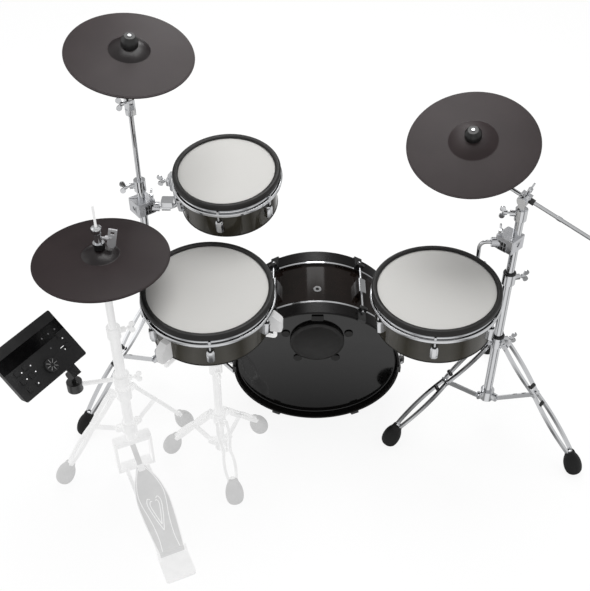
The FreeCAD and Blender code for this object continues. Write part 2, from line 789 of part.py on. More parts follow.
def kick_impact_pad():
    low = KICK_DEPTH - KICK_HEAD_INSET
    top = low + IMPACT_HEIGHT
    pad = turned([(0, low), (IMPACT_RADIUS, low), (IMPACT_RADIUS, top - IMPACT_ROUND),
                  (IMPACT_RADIUS - IMPACT_ROUND, top), (IMPACT_INNER_RADIUS, top),
                  (IMPACT_INNER_RADIUS - IMPACT_DISH, top - IMPACT_DISH), (0, top - IMPACT_DISH)])
    feet = []
    for index in range(1, BOSS_COUNT):
        foot = cylinder(BOSS_RADIUS, low, low + BOSS_HEIGHT)
        foot.translate(around(BOSS_CIRCLE, FULL_TURN / 4 + FULL_TURN * index / BOSS_COUNT))
        feet.append(foot)
    bar = rounded_block(-BOSS_BAR_WIDTH / 2, BOSS_BAR_WIDTH / 2, BOSS_CIRCLE - BOSS_BAR_HEIGHT / 2,
                        BOSS_CIRCLE + BOSS_BAR_HEIGHT / 2, low, low + BOSS_HEIGHT, LUG_ROUND)
    solids = [pad, bar] + feet
    for solid in solids:
        solid.translate(vec(0, IMPACT_RISE, 0))
    return solids


def kick_trigger():
    """Cross bar behind the batter head, with the foam column that carries the sensor."""
    head = KICK_DEPTH - KICK_HEAD_INSET - FILM
    top = head - KICK_SENSOR_GAP
    bar = block(-KICK_SHELL_RADIUS, KICK_SHELL_RADIUS, IMPACT_RISE - KICK_SENSOR_BAR / 2,
                IMPACT_RISE + KICK_SENSOR_BAR / 2, top - KICK_SENSOR_SHEET, top)
    bar = bar.common(cylinder(KICK_SHELL_RADIUS - KICK_SHELL_WALL, 0, KICK_DEPTH))
    column = cylinder(KICK_SENSOR_RADIUS, top, head)
    column.translate(vec(0, IMPACT_RISE, 0))
    return [bar, column]


def kick_claw():
    """A claw over the batter hoop, with the ear that the tension rod pulls on."""
    out = KICK_HOOP_RADIUS + FIT
    half = KICK_CLAW_WIDTH / 2
    low = KICK_DEPTH - KICK_HOOP_DEPTH
    top = KICK_DEPTH + FIT
    rod_place = KICK_HOOP_RADIUS + KICK_ROD_OUT
    back = block(out, out + KICK_CLAW_SHEET, -half, half, low, top + KICK_CLAW_SHEET)
    hook = block(KICK_HOOP_RADIUS - KICK_HOOP_WALL, out + KICK_CLAW_SHEET, -half, half, top,
                 top + KICK_CLAW_SHEET)
    ear = rounded_block(out, rod_place + KICK_LUG_MARGIN, -half, half, low, low + KICK_CLAW_EAR,
                        KICK_CLAW_SHEET)
    hole = cylinder(TENSION_RADIUS + FIT, low - OVERRUN, low + KICK_CLAW_EAR + OVERRUN)
    hole.translate(vec(rod_place, 0, 0))
    return fused(back, hook, ear).cut([hole, cylinder(out, low - OVERRUN, top)])


def kick_lug():
    """A lug on the shell with the two rods that reach the claws at both ends."""
    rod_place = KICK_HOOP_RADIUS + KICK_ROD_OUT
    low = (KICK_DEPTH - KICK_LUG_LENGTH) / 2
    body = rounded_block(KICK_SHELL_RADIUS - KICK_SHELL_WALL / 2, rod_place + KICK_LUG_MARGIN,
                         -KICK_LUG_WIDTH / 2,
                         KICK_LUG_WIDTH / 2, low, low + KICK_LUG_LENGTH, LUG_ROUND)
    body = body.cut(cylinder(KICK_SHELL_RADIUS, low - OVERRUN, low + KICK_LUG_LENGTH + OVERRUN))
    end = KICK_HOOP_DEPTH - KICK_CLAW_EAR
    stem = cylinder(TENSION_RADIUS, end, KICK_DEPTH - end)
    heads = [cylinder(TENSION_HEAD_RADIUS, end - TENSION_HEAD_HEIGHT, end),
             cylinder(TENSION_HEAD_RADIUS, KICK_DEPTH - end, KICK_DEPTH - end + TENSION_HEAD_HEIGHT)]
    screws = fused(stem, *heads)
    screws.translate(vec(rod_place, 0, 0))
    return fused(body, screws)


def kick_hardware():
    rings = [tube(KICK_HOOP_RADIUS - KICK_HOOP_CHAMFER, KICK_SHELL_RADIUS + FIT, low,
                  low + KICK_RING_HEIGHT)
             for low in (KICK_HOOP_DEPTH, KICK_DEPTH - KICK_HOOP_DEPTH - KICK_RING_HEIGHT)]
    batter_claw = kick_claw()
    front_claw = batter_claw.mirror(vec(0, 0, KICK_DEPTH / 2), UP)
    lug = kick_lug()
    solids = []
    for index in range(KICK_LUG_COUNT):
        angle = FULL_TURN * index / KICK_LUG_COUNT
        solids += [turn(lug, angle), turn(batter_claw, angle), turn(front_claw, angle)]
    vent_z = KICK_DEPTH - VENT_FROM_BATTER
    flange = radial(VENT_FLANGE_RADIUS, KICK_SHELL_RADIUS - KICK_SHELL_WALL / 2, KICK_SHELL_RADIUS + FILM,
                    FULL_TURN / 4, vent_z)
    flange = flange.cut(cylinder(KICK_SHELL_RADIUS, 0, KICK_DEPTH))
    sleeve = radial(VENT_RADIUS, KICK_SHELL_RADIUS - KICK_SHELL_WALL, KICK_SHELL_RADIUS + FILM,
                    FULL_TURN / 4, vent_z)
    bore = radial(VENT_RADIUS - FILM, KICK_SHELL_RADIUS - KICK_SHELL_WALL - OVERRUN,
                  KICK_SHELL_RADIUS + FILM + OVERRUN, FULL_TURN / 4, vent_z)
    return rings + solids + [fused(flange, sleeve).cut(bore)]


def spur_pivot(side):
    """Pivot of a spur beside the shell and its foot straight below the drum's cross plane, in the world."""
    angle = -SPUR_ANGLE if side > 0 else SPUR_ANGLE - FULL_TURN / 2
    pivot = KICK.multVec(around(KICK_SHELL_RADIUS + SPUR_PIVOT_OUT, angle, SPUR_FROM_FRONT))
    foot = vec(pivot.x + side * SPUR_OUT, pivot.y + pivot.z * math.tan(math.radians(KICK_LEAN_ANGLE)), 0)
    return SimpleNamespace(pivot=pivot, foot=foot, angle=angle)


def spur_bracket(side):
    """Plate on the kick shell with two ears and the pin that the spur turns on, along the drum's axis."""
    half = SPUR_EYE_WIDTH / 2 + FIT + SPUR_EAR_SHEET
    far = KICK_SHELL_RADIUS + SPUR_PIVOT_OUT
    wide = SPUR_EYE_RADIUS + SPUR_EAR_SHEET
    face = far - SPUR_EYE_RADIUS - FIT
    plate = block(KICK_SHELL_RADIUS - KICK_SHELL_WALL, face, -wide, wide, SPUR_FROM_FRONT - half,
                  SPUR_FROM_FRONT + half)
    shapes = [plate]
    for low in (SPUR_FROM_FRONT - half, SPUR_FROM_FRONT + half - SPUR_EAR_SHEET):
        ear = block(KICK_SHELL_RADIUS, far, -SPUR_EYE_RADIUS, SPUR_EYE_RADIUS, low, low + SPUR_EAR_SHEET)
        eye = cylinder(SPUR_EYE_RADIUS, low, low + SPUR_EAR_SHEET)
        eye.translate(vec(far, 0, 0))
        shapes += [ear, eye]
    pin = cylinder(SPUR_PIN_RADIUS, SPUR_FROM_FRONT - half, SPUR_FROM_FRONT + half)
    pin.translate(vec(far, 0, 0))
    return turn(fused(*shapes, pin).cut(cylinder(KICK_SHELL_RADIUS, 0, KICK_DEPTH)), spur_pivot(side).angle)


def spur(side):
    """Spur leg with its eye on the pivot and a rubber tip on the floor."""
    at = spur_pivot(side)
    start = at.pivot - KICK_AXIS * (SPUR_EYE_WIDTH / 2)
    eye = Part.makeCylinder(SPUR_EYE_RADIUS, SPUR_EYE_WIDTH, start, KICK_AXIS)
    bore = Part.makeCylinder(SPUR_PIN_RADIUS + FIT, SPUR_EYE_WIDTH + OVERRUN * 2,
                             start - KICK_AXIS * OVERRUN, KICK_AXIS)
    run = (at.foot - at.pivot).normalize()
    tip_top = at.foot - run * SPUR_TIP_HEIGHT
    leg_rod = rod(at.pivot, tip_top + run * (SPUR_TIP_HEIGHT / 2), SPUR_RADIUS)
    leg_rod = fused(leg_rod, eye).cut(bore)
    neck = Part.Wire(Part.makeCircle(SPUR_TIP_NECK, tip_top, run))
    sole = Part.Wire(Part.makeCircle(SPUR_TIP_RADIUS, at.foot, UP * -1))
    tip = Part.makeLoft([neck, sole], True, True).cut(leg_rod)
    return [leg_rod, tip]


def add_kick():
    keep("kick_shell", placed(kick_shell(), KICK))
    keep("kick_hoops", placed(kick_hoops(), KICK))
    keep("kick_heads", placed(kick_heads(), KICK))
    keep("kick_impact_pad", placed(kick_impact_pad(), KICK))
    keep("kick_trigger", placed(kick_trigger(), KICK))
    keep("kick_hardware", placed(kick_hardware() + [spur_bracket(-1), spur_bracket(1)], KICK))
    keep("kick_spur_left", spur(-1))
    keep("kick_spur_right", spur(1))


# Cymbal pads and tilters, in a frame with the rim of the pad on z = 0

def on_dome(radius, angle):
    """A point of a sphere about the centre that the pad rocks on, measured from the spindle."""
    spread = math.radians(angle)
    return vec(radius * math.sin(spread), 0, BELL_TOP - DOME_RADIUS + radius * math.cos(spread))


def from_hole(radius, hole):
    return math.degrees(math.asin(hole / radius))


def dome_arc(radius, first, last):
    return arc(on_dome(radius, first), on_dome(radius, (first + last) / 2), on_dome(radius, last))


def spun(edges):
    face = Part.Face(Part.Wire(Part.__sortEdges__(edges)))
    return face.revolve(ORIGIN, UP, FULL_TURN)


def strung(points):
    return [line(first, last) for first, last in zip(points, points[1:])]


def cymbal_pad(radius, bell):
    inner = DOME_RADIUS - CYMBAL_SHEET
    top_first = from_hole(DOME_RADIUS, CYMBAL_HOLE)
    low_first = from_hole(inner, CYMBAL_HOLE)
    outside = [on_dome(DOME_RADIUS, DOME_ANGLE), vec(bell, 0, BELL_FOOT),
               vec(radius - CYMBAL_LIP, 0, CYMBAL_EDGE), vec(radius, 0, CYMBAL_EDGE - CYMBAL_LIP),
               vec(radius, 0, -CYMBAL_EDGE), vec(bell, 0, BELL_FOOT - CYMBAL_SHEET),
               on_dome(inner, DOME_ANGLE)]
    edges = strung(outside) + [dome_arc(DOME_RADIUS, top_first, DOME_ANGLE),
                               dome_arc(inner, low_first, DOME_ANGLE),
                               line(on_dome(DOME_RADIUS, top_first), on_dome(inner, low_first))]
    return spun(edges)


def cymbal_pod(radius, bell):
    """The sensor and jack pod under the pad, on the side away from the player."""
    pod = cylinder(POD_RADIUS, -POD_HEIGHT, BELL_FOOT)
    pod.translate(vec(0, POD_OUT, 0))
    jack = Part.makeCylinder(JACK_BORE_RADIUS, POD_RADIUS + OVERRUN, vec(0, POD_OUT, -POD_HEIGHT / 2), AWAY)
    above = turned([(0, BELL_FOOT - CYMBAL_SHEET), (bell, BELL_FOOT - CYMBAL_SHEET), (radius, -CYMBAL_EDGE),
                    (radius, BELL_TOP), (0, BELL_TOP)])
    return pod.cut([above, jack])


def cymbal_seat():
    radius = DOME_RADIUS - CYMBAL_SHEET - FIT
    first = from_hole(radius, STEM_RADIUS + SEAT)
    low = SEAT_BOTTOM
    points = [on_dome(radius, SEAT_ANGLE), vec(SEAT_RADIUS, 0, SEAT_SHOULDER), vec(SEAT_RADIUS, 0, low),
              vec(STEM_RADIUS + SEAT, 0, low), on_dome(radius, first)]
    return spun(strung(points) + [dome_arc(radius, first, SEAT_ANGLE)])


def nut_top():
    return BELL_TOP + NUT_FLARE + NUT_HEIGHT


def cymbal_nut():
    radius = DOME_RADIUS + FIT
    first = from_hole(radius, STEM_RADIUS + SEAT)
    brim = BELL_TOP + NUT_FLARE - DOME_RADIUS / 2 + NUT_FLARE
    points = [on_dome(radius, SEAT_ANGLE), vec(NUT_RADIUS, 0, brim),
              vec(NUT_RADIUS, 0, nut_top() - NUT_FLARE),
              vec(NUT_DOME_RADIUS + NUT_FLARE, 0, nut_top()),
              vec(NUT_DOME_RADIUS, 0, nut_top() + NUT_DOME_HEIGHT),
              vec(STEM_RADIUS + SEAT, 0, nut_top() + NUT_DOME_HEIGHT), on_dome(radius, first)]
    return spun(strung(points) + [dome_arc(radius, first, SEAT_ANGLE)])


def spindle(length):
    top = nut_top() + NUT_DOME_HEIGHT + STEM_TIP
    return fused(cylinder(SLEEVE_RADIUS, -length, SEAT_BOTTOM), cylinder(STEM_RADIUS, SEAT_BOTTOM, top))


def add_crash():
    tongue = Part.makeCylinder(TONGUE_RADIUS, TONGUE_WIDTH, vec(0, -TONGUE_WIDTH / 2, -CRASH_SPINDLE), AWAY)
    bore = Part.makeCylinder(TILT_PIN_RADIUS + FIT, TONGUE_WIDTH * 2,
                             vec(0, -TONGUE_WIDTH, -CRASH_SPINDLE), AWAY)
    neck = rounded_block(-SLEEVE_RADIUS, SLEEVE_RADIUS, -TONGUE_WIDTH / 2, TONGUE_WIDTH / 2, -CRASH_SPINDLE,
                         TONGUE_RADIUS * 2 - CRASH_SPINDLE, FIT)
    stem = spindle(CRASH_SPINDLE - TONGUE_RADIUS * 2)
    pole = fused(stem, neck, tongue).cut(bore)
    keep("crash_pad", placed([cymbal_pad(CRASH_RADIUS, CRASH_BELL_RADIUS),
                              turn(cymbal_pod(CRASH_RADIUS, CRASH_BELL_RADIUS), FULL_TURN / 4)], CRASH))
    keep("crash_tilter", placed([pole, cymbal_seat(), cymbal_nut()], CRASH))


def add_ride():
    start = RIDE_PIVOT - BOOM_AXIS * BOOM_HUB_HALF_LENGTH
    hub = Part.makeCylinder(BOOM_HUB_RADIUS, BOOM_HUB_HALF_LENGTH * 2, start, BOOM_AXIS)
    bore = Part.makeCylinder(BOOM_RADIUS + FIT, BOOM_HUB_HALF_LENGTH * 2 + OVERRUN * 2,
                             start - BOOM_AXIS * OVERRUN,
                             BOOM_AXIS)
    pole = placed([spindle(RIDE_SPINDLE)], RIDE)[0]
    keep("ride_pad", placed([cymbal_pad(RIDE_RADIUS, RIDE_BELL_RADIUS),
                             cymbal_pod(RIDE_RADIUS, RIDE_BELL_RADIUS)], RIDE))
    keep("ride_tilter", [fused(pole, hub).cut(bore)] + placed([cymbal_seat(), cymbal_nut()], RIDE))


# Folding stands, each in a frame with its axis on Z

def leg_points(pivot_out, pivot_z, foot_circle):
    """The leg's pivot, its lower end, its length and its angle from the vertical."""
    end_out = foot_circle - FOOT_SET
    run = math.hypot(end_out - pivot_out, pivot_z - FOOT_HEIGHT)
    slope = math.atan2(end_out - pivot_out, pivot_z - FOOT_HEIGHT)
    waist = vec(pivot_out + run * LEG_WAIST_SHARE * math.sin(slope), 0,
                pivot_z - run * LEG_WAIST_SHARE * math.cos(slope))
    return SimpleNamespace(pivot=vec(pivot_out, 0, pivot_z), end=vec(end_out, 0, FOOT_HEIGHT), run=run,
                           slope=slope, waist=waist)


def leg_bar(run):
    """One bowed bar, drawn in a plane with X along the leg and Y across it."""
    waist = run * LEG_WAIST_SHARE
    last = run + FOOT_GRIP

    def side(offset):
        upper = arc(vec(-LEG_EYE, LEG_SPREAD + offset, 0), vec(waist / 2, LEG_BOW + offset, 0),
                    vec(waist, LEG_WAIST + offset, 0))
        lower = arc(vec(waist, LEG_WAIST + offset, 0), vec((waist + last) / 2, LEG_BOW + offset, 0),
                    vec(last, LEG_TOE + offset, 0))
        return [upper, lower]

    half = LEG_BAR_WIDTH / 2
    ends = [line(vec(x, y - half, 0), vec(x, y + half, 0))
            for x, y in ((-LEG_EYE, LEG_SPREAD), (last, LEG_TOE))]
    face = Part.Face(Part.Wire(Part.__sortEdges__(side(half) + side(-half) + ends)))
    bar = face.extrude(vec(0, 0, LEG_BAR_DEPTH))
    bar.translate(vec(0, 0, -LEG_BAR_DEPTH / 2))
    return bar


def leg(pivot_out, pivot_z, foot_circle):
    """A leg in the plane y = 0: two bars on one pin, with rivets at the waist, and a rubber foot."""
    at = leg_points(pivot_out, pivot_z, foot_circle)
    bar = leg_bar(at.run)
    other = bar.mirror(ORIGIN, AWAY)
    reach = LEG_SPREAD + LEG_BAR_WIDTH / 2 + RIVET_HEIGHT
    pin = Part.makeCylinder(LEG_PIN_RADIUS, reach * 2, vec(0, -reach, 0), AWAY)
    waist_x = at.run * LEG_WAIST_SHARE
    rivets = []
    for side in (-1, 1):
        for x, spread in ((0, LEG_SPREAD), (waist_x, LEG_WAIST)):
            rivets.append(Part.makeCylinder(RIVET_RADIUS, LEG_BAR_WIDTH / 2 + RIVET_HEIGHT,
                                            vec(x, side * spread, 0),
                                            AWAY * side))
    frame = seat(at.pivot, vec(math.cos(at.slope), 0, math.sin(at.slope)),
                 vec(math.sin(at.slope), 0, -math.cos(at.slope)))
    bars = placed([fused(bar, other, pin, *rivets)], frame)[0]
    top = Part.Wire(Part.makeCircle(FOOT_TOP_RADIUS, at.end, at.end - at.pivot))
    sole = Part.Wire(Part.makeCircle(FOOT_RADIUS, vec(foot_circle, 0, 0), UP * -1))
    foot = Part.makeLoft([top, sole], True, True).cut(bars)
    return [bars, foot]


def brace(hub_out, hub_z, waist):
    """A flat link with round ends from the hub's pivot to the waist of the leg."""
    run = math.hypot(waist.x - hub_out, waist.z - hub_z)
    half = BRACE_HALF_WIDTH
    edges = [line(vec(0, half, 0), vec(run, half, 0)), line(vec(0, -half, 0), vec(run, -half, 0)),
             arc(vec(0, half, 0), vec(-half, 0, 0), vec(0, -half, 0)),
             arc(vec(run, half, 0), vec(run + half, 0, 0), vec(run, -half, 0))]
    face = Part.Face(Part.Wire(Part.__sortEdges__(edges)))
    link = face.extrude(vec(0, 0, BRACE_SHEET))
    link.translate(vec(0, 0, -BRACE_SHEET / 2))
    link = link.cut(cylinder(LEG_PIN_RADIUS + FIT, -BRACE_SHEET, BRACE_SHEET))
    along = vec(waist.x - hub_out, 0, waist.z - hub_z)
    return placed([link], seat(vec(hub_out, 0, hub_z), AWAY, along))[0]


def hub_casting(hub_z, turns, tube_radius, pivot_out):
    """Casting at the foot of the tube, with a pair of ears and a pin for each brace."""
    low = hub_z - HUB_HEIGHT / 2
    body = cylinder(tube_radius + HUB_RADIUS - BASE_TUBE_RADIUS, low, low + HUB_HEIGHT)
    near = BRACE_SHEET / 2 + FIT
    ears = []
    for angle in turns:
        for side in (-1, 1):
            y_low = min(side * near, side * (near + EAR_SHEET))
            web = block(tube_radius, pivot_out, y_low, y_low + EAR_SHEET, hub_z - EAR_HALF_WIDTH,
                        hub_z + EAR_HALF_WIDTH)
            eye = Part.makeCylinder(EAR_HALF_WIDTH, EAR_SHEET, vec(pivot_out, y_low, hub_z), AWAY)
            ears += [turn(web, angle), turn(eye, angle)]
        reach = near + EAR_SHEET
        ears.append(turn(Part.makeCylinder(LEG_PIN_RADIUS, reach * 2, vec(pivot_out, -reach, hub_z),
                                           AWAY), angle))
    return fused(body, *ears).cut(cylinder(tube_radius + SEAT, low - OVERRUN, low + HUB_HEIGHT + OVERRUN))


def leg_collar(collar_z, turns, tube_radius, pivot_out, gap):
    """Collar on the tube with a tongue for each leg's pin."""
    low = collar_z - COLLAR_HEIGHT / 2
    body = cylinder(tube_radius + COLLAR_RADIUS - BASE_TUBE_RADIUS, low, low + COLLAR_HEIGHT)
    half = LEG_SPREAD - LEG_BAR_WIDTH / 2 - FIT
    tongues = []
    holes = [cylinder(tube_radius + gap, low - OVERRUN, low + COLLAR_HEIGHT + OVERRUN)]
    for angle in turns:
        web = block(tube_radius, pivot_out, -half, half, collar_z - EAR_HALF_WIDTH,
                    collar_z + EAR_HALF_WIDTH)
        eye = Part.makeCylinder(EAR_HALF_WIDTH, half * 2, vec(pivot_out, -half, collar_z), AWAY)
        hole = Part.makeCylinder(LEG_PIN_RADIUS + FIT, LEG_SPREAD * 2,
                                 vec(pivot_out, -LEG_SPREAD, collar_z), AWAY)
        tongues += [turn(web, angle), turn(eye, angle)]
        holes.append(turn(hole, angle))
    return fused(body, *tongues).cut(holes)


def bossed(body, radius, angle, z, bore):
    """A ring with a round boss for a clamping bolt, and that bolt."""
    far = radius + BOSS_REACH
    boss = radial(BOLT_BOSS_RADIUS, 0, far, angle, z)
    shape = fused(body, boss).cut(bore)
    out = around(1, angle)
    return [shape] + bolt_at(around(far, angle, z), out, UP)


def leg_turns(first):
    return [first + FULL_TURN * index / LEG_COUNT for index in range(LEG_COUNT)]


def add_tripod(name, x, y, first_turn, bolt_turn):
    """Tube with hub and mast socket, sliding collar, three legs and three braces."""
    turns = leg_turns(first_turn)
    low = HUB_Z - HUB_HEIGHT / 2
    pole = tube(BASE_TUBE_RADIUS, MAST_RADIUS + FIT, low, BASE_TOP_Z)
    socket = cylinder(SOCKET_RADIUS, BASE_TOP_Z - SOCKET_HEIGHT / 2, BASE_TOP_Z + SOCKET_HEIGHT / 2)
    bores = [cylinder(BASE_TUBE_RADIUS + SEAT, BASE_TOP_Z - SOCKET_HEIGHT, BASE_TOP_Z),
             cylinder(MAST_RADIUS + FIT, BASE_TOP_Z - OVERRUN, BASE_TOP_Z + SOCKET_HEIGHT)]
    base = [pole, hub_casting(HUB_Z, turns, BASE_TUBE_RADIUS, HUB_PIVOT)]
    base += bossed(socket, SOCKET_RADIUS, bolt_turn, BASE_TOP_Z, bores)
    keep(name + "_base", standing_at(base, x, y))
    collar = leg_collar(COLLAR_Z, turns, BASE_TUBE_RADIUS, COLLAR_PIVOT, FIT)
    bore = cylinder(BASE_TUBE_RADIUS + FIT, 0, BASE_TOP_Z)
    keep(name + "_collar", standing_at(bossed(collar, COLLAR_RADIUS, bolt_turn, COLLAR_Z, bore), x, y))
    one_leg = leg(COLLAR_PIVOT, COLLAR_Z, FOOT_CIRCLE)
    one_brace = brace(HUB_PIVOT, HUB_Z, leg_points(COLLAR_PIVOT, COLLAR_Z, FOOT_CIRCLE).waist)
    for index, angle in enumerate(turns, 1):
        keep("%s_leg_%d" % (name, index), standing_at([turn(solid, angle) for solid in one_leg], x, y))
        keep("%s_brace_%d" % (name, index), standing_at([turn(one_brace, angle)], x, y))


def clamp_block(z, rod_angle, block_angle, shift, screw_angle):
    """Split clamp round the mast: a turned block, a sleeve for the tom rod, its bolt and a sunk screw."""
    half = CLAMP_HALF_SIDE
    high = CLAMP_HALF_HEIGHT + CLAMP_RISE + OVERRUN
    out = around(1, rod_angle)
    inner = out * ROD_SOCKET_START + UP * z
    centre = out * shift + UP * (z + CLAMP_RISE)
    body = rounded_block(-half, half, -half, half, -CLAMP_HALF_HEIGHT, CLAMP_HALF_HEIGHT, CLAMP_ROUND)
    body = turn(body, block_angle)
    body.translate(centre)
    sleeve = Part.makeCylinder(CLAMP_SLEEVE_RADIUS, CLAMP_REACH + shift - ROD_SOCKET_START, inner, out)
    split = block(-half * 2, 0, -CLAMP_SPLIT / 2, CLAMP_SPLIT / 2, z - high, z + high)
    socket = Part.makeCylinder(TOM_ROD_RADIUS + FIT, CLAMP_REACH + shift, inner, out)
    facing = around(1, block_angle + screw_angle)
    sunk = centre + facing * (half - CLAMP_SCREW_DEPTH)
    well = Part.makeCylinder(CLAMP_SCREW_RADIUS + OVERRUN / 2, CLAMP_SCREW_DEPTH + OVERRUN, sunk, facing)
    bore = cylinder(MAST_RADIUS + SEAT, z - high, z + high)
    body = fused(body, sleeve).cut([turn(split, rod_angle), socket, well, bore])
    screw = Part.makeCylinder(CLAMP_SCREW_RADIUS, CLAMP_SCREW_DEPTH / 2, sunk, facing)
    bolt_foot = centre + out * half + UP * CLAMP_HALF_HEIGHT
    return [body, screw] + bolt_at(bolt_foot, UP, out.cross(UP))


def mast_tube(top):
    return tube(MAST_RADIUS, MAST_RADIUS - MAST_WALL, BASE_TOP_Z - MAST_INSERT, top)


def top_collar(low, bolt_turn, bore_radius):
    ring = cylinder(TOP_COLLAR_RADIUS, low, low + TOP_COLLAR_HEIGHT)
    bore = cylinder(bore_radius, low - OVERRUN, low + TOP_COLLAR_HEIGHT + OVERRUN)
    return bossed(ring, TOP_COLLAR_RADIUS, bolt_turn, low + TOP_COLLAR_HEIGHT / 2, bore)


def tom_rod_corner(frame, at, bracket_turn, z):
    """Where the rod through a tom's bracket meets the height of its clamp."""
    through = frame.multVec(around(at.bracket, bracket_turn))
    axis = frame.Rotation.multVec(UP)
    return through + axis * ((z - through.z) / axis.z)


def tom_rod(x, y, z, corner, end):
    """Bent rod from the clamp on a mast at x, y to the tom's bracket."""
    centre = vec(x, y, z)
    out = (corner - centre).normalize()
    return bent_rod(centre + out * (ROD_SOCKET_START + OVERRUN), corner, end, TOM_ROD_RADIUS, TOM_ROD_BEND)


def rod_collar(x, y, z, corner):
    """Collar on the level part of a tom rod that carries a flat plate above the rod."""
    centre = vec(x, y, z)
    out = (corner - centre).normalize()
    start = centre + out * ROD_PLATE_START
    ring = Part.makeCylinder(ROD_COLLAR_RADIUS, ROD_COLLAR_LENGTH, start, out)
    half = ROD_PLATE_HALF_WIDTH
    top = ROD_COLLAR_RADIUS + ROD_PLATE_SHEET
    plate = rounded_block(0, ROD_PLATE_LENGTH, -half, half, ROD_COLLAR_RADIUS - OVERRUN, top, CLAMP_ROUND)
    return fused(ring, *placed([plate], seat(start, UP, out)))


def heading(x, y, point):
    return math.degrees(math.atan2(point.y - y, point.x - x))


def crash_fork():
    """Fork on the top of the cymbal rod, with the tilter's pin and its bolt."""
    top = CRASH_PIVOT_Z
    near = TONGUE_WIDTH / 2 + FIT
    base = cylinder(FORK_RADIUS, top - FORK_DROP - FORK_BASE, top - FORK_DROP)
    shapes = []
    for side in (-1, 1):
        y_low = min(side * near, side * (near + FORK_SHEET))
        shapes.append(block(-TONGUE_RADIUS, TONGUE_RADIUS, y_low, y_low + FORK_SHEET,
                            top - FORK_DROP - FORK_BASE, top))
        shapes.append(Part.makeCylinder(TONGUE_RADIUS, FORK_SHEET, vec(0, y_low, top), AWAY))
    reach = near + FORK_SHEET
    pin = Part.makeCylinder(TILT_PIN_RADIUS, reach * 2, vec(0, -reach, top), AWAY)
    bore = cylinder(ARM_RADIUS + SEAT, top - FORK_DROP - FORK_BASE - OVERRUN,
                    top - FORK_DROP - FORK_BASE / 2)
    fork = fused(base, *shapes, pin).cut(bore)
    bolt = bolt_at(vec(0, -reach, top), AWAY * -1, UP)
    return [turn(solid, CRASH_HINGE_ANGLE - FULL_TURN / 4) for solid in [fork] + bolt]


def add_left_mast():
    corner = tom_rod_corner(LEFT_TOM, pad_radii(LEFT_TOM_RADIUS), LEFT_BRACKET_ANGLE, LEFT_CLAMP_Z)
    rod_angle = heading(LEFT_STAND_X, LEFT_STAND_Y, corner)
    clamp = clamp_block(LEFT_CLAMP_Z, rod_angle, LEFT_CLAMP_ANGLE, 0, FULL_TURN / 2)
    mast = [mast_tube(LEFT_MAST_TOP_Z)] + clamp
    mast += top_collar(LEFT_MAST_TOP_Z, LEFT_TOP_BOLT_ANGLE, ARM_RADIUS + FIT)
    keep("left_mast", standing_at(mast, LEFT_STAND_X, LEFT_STAND_Y))
    arm = cylinder(ARM_RADIUS, LEFT_MAST_TOP_Z - ARM_INSERT, CRASH_PIVOT_Z - FORK_DROP - FORK_BASE / 2)
    keep("crash_rod", standing_at([arm] + crash_fork(), LEFT_STAND_X, LEFT_STAND_Y))
    end = LEFT_TOM.multVec(around(pad_radii(LEFT_TOM_RADIUS).bracket, LEFT_BRACKET_ANGLE, -LEFT_ROD_TOP))
    bent = tom_rod(LEFT_STAND_X, LEFT_STAND_Y, LEFT_CLAMP_Z, corner, end)
    collar = rod_collar(LEFT_STAND_X, LEFT_STAND_Y, LEFT_CLAMP_Z, corner)
    keep("left_tom_rod", [fused(bent, collar)])


def ratchet_post():
    """Post in the top of the right mast whose ratchet disc carries the boom clamp."""
    post = cylinder(POST_RADIUS, RIGHT_MAST_TOP_Z - POST_INSERT, BOOM_CLAMP_Z - POST_TOP_GAP)
    near = -RATCHET_SHEET / 2 - FIT
    disc = Part.makeCylinder(RATCHET_RADIUS, RATCHET_SHEET, vec(0, near - RATCHET_SHEET, BOOM_CLAMP_Z),
                             AWAY)
    neck = block(-POST_RADIUS, POST_RADIUS, near - RATCHET_SHEET, near,
                 RIGHT_MAST_TOP_Z + TOP_COLLAR_HEIGHT, BOOM_CLAMP_Z)
    bore = Part.makeCylinder(RATCHET_BOLT_RADIUS + SEAT, RATCHET_SHEET * 2,
                             vec(0, near - RATCHET_SHEET - OVERRUN, BOOM_CLAMP_Z), AWAY)
    bolt = Part.makeCylinder(RATCHET_BOLT_RADIUS, RATCHET_SHEET * 2,
                             vec(0, near - RATCHET_SHEET, BOOM_CLAMP_Z), AWAY)
    knob = Part.makeCylinder(KNOB_RADIUS, KNOB_HEIGHT,
                             vec(0, near - RATCHET_SHEET - KNOB_HEIGHT, BOOM_CLAMP_Z), AWAY)
    solids = [fused(post, disc, neck).cut(bore), fused(bolt, knob)]
    return [turn(solid, BOOM_HINGE_ANGLE - FULL_TURN / 4) for solid in solids]


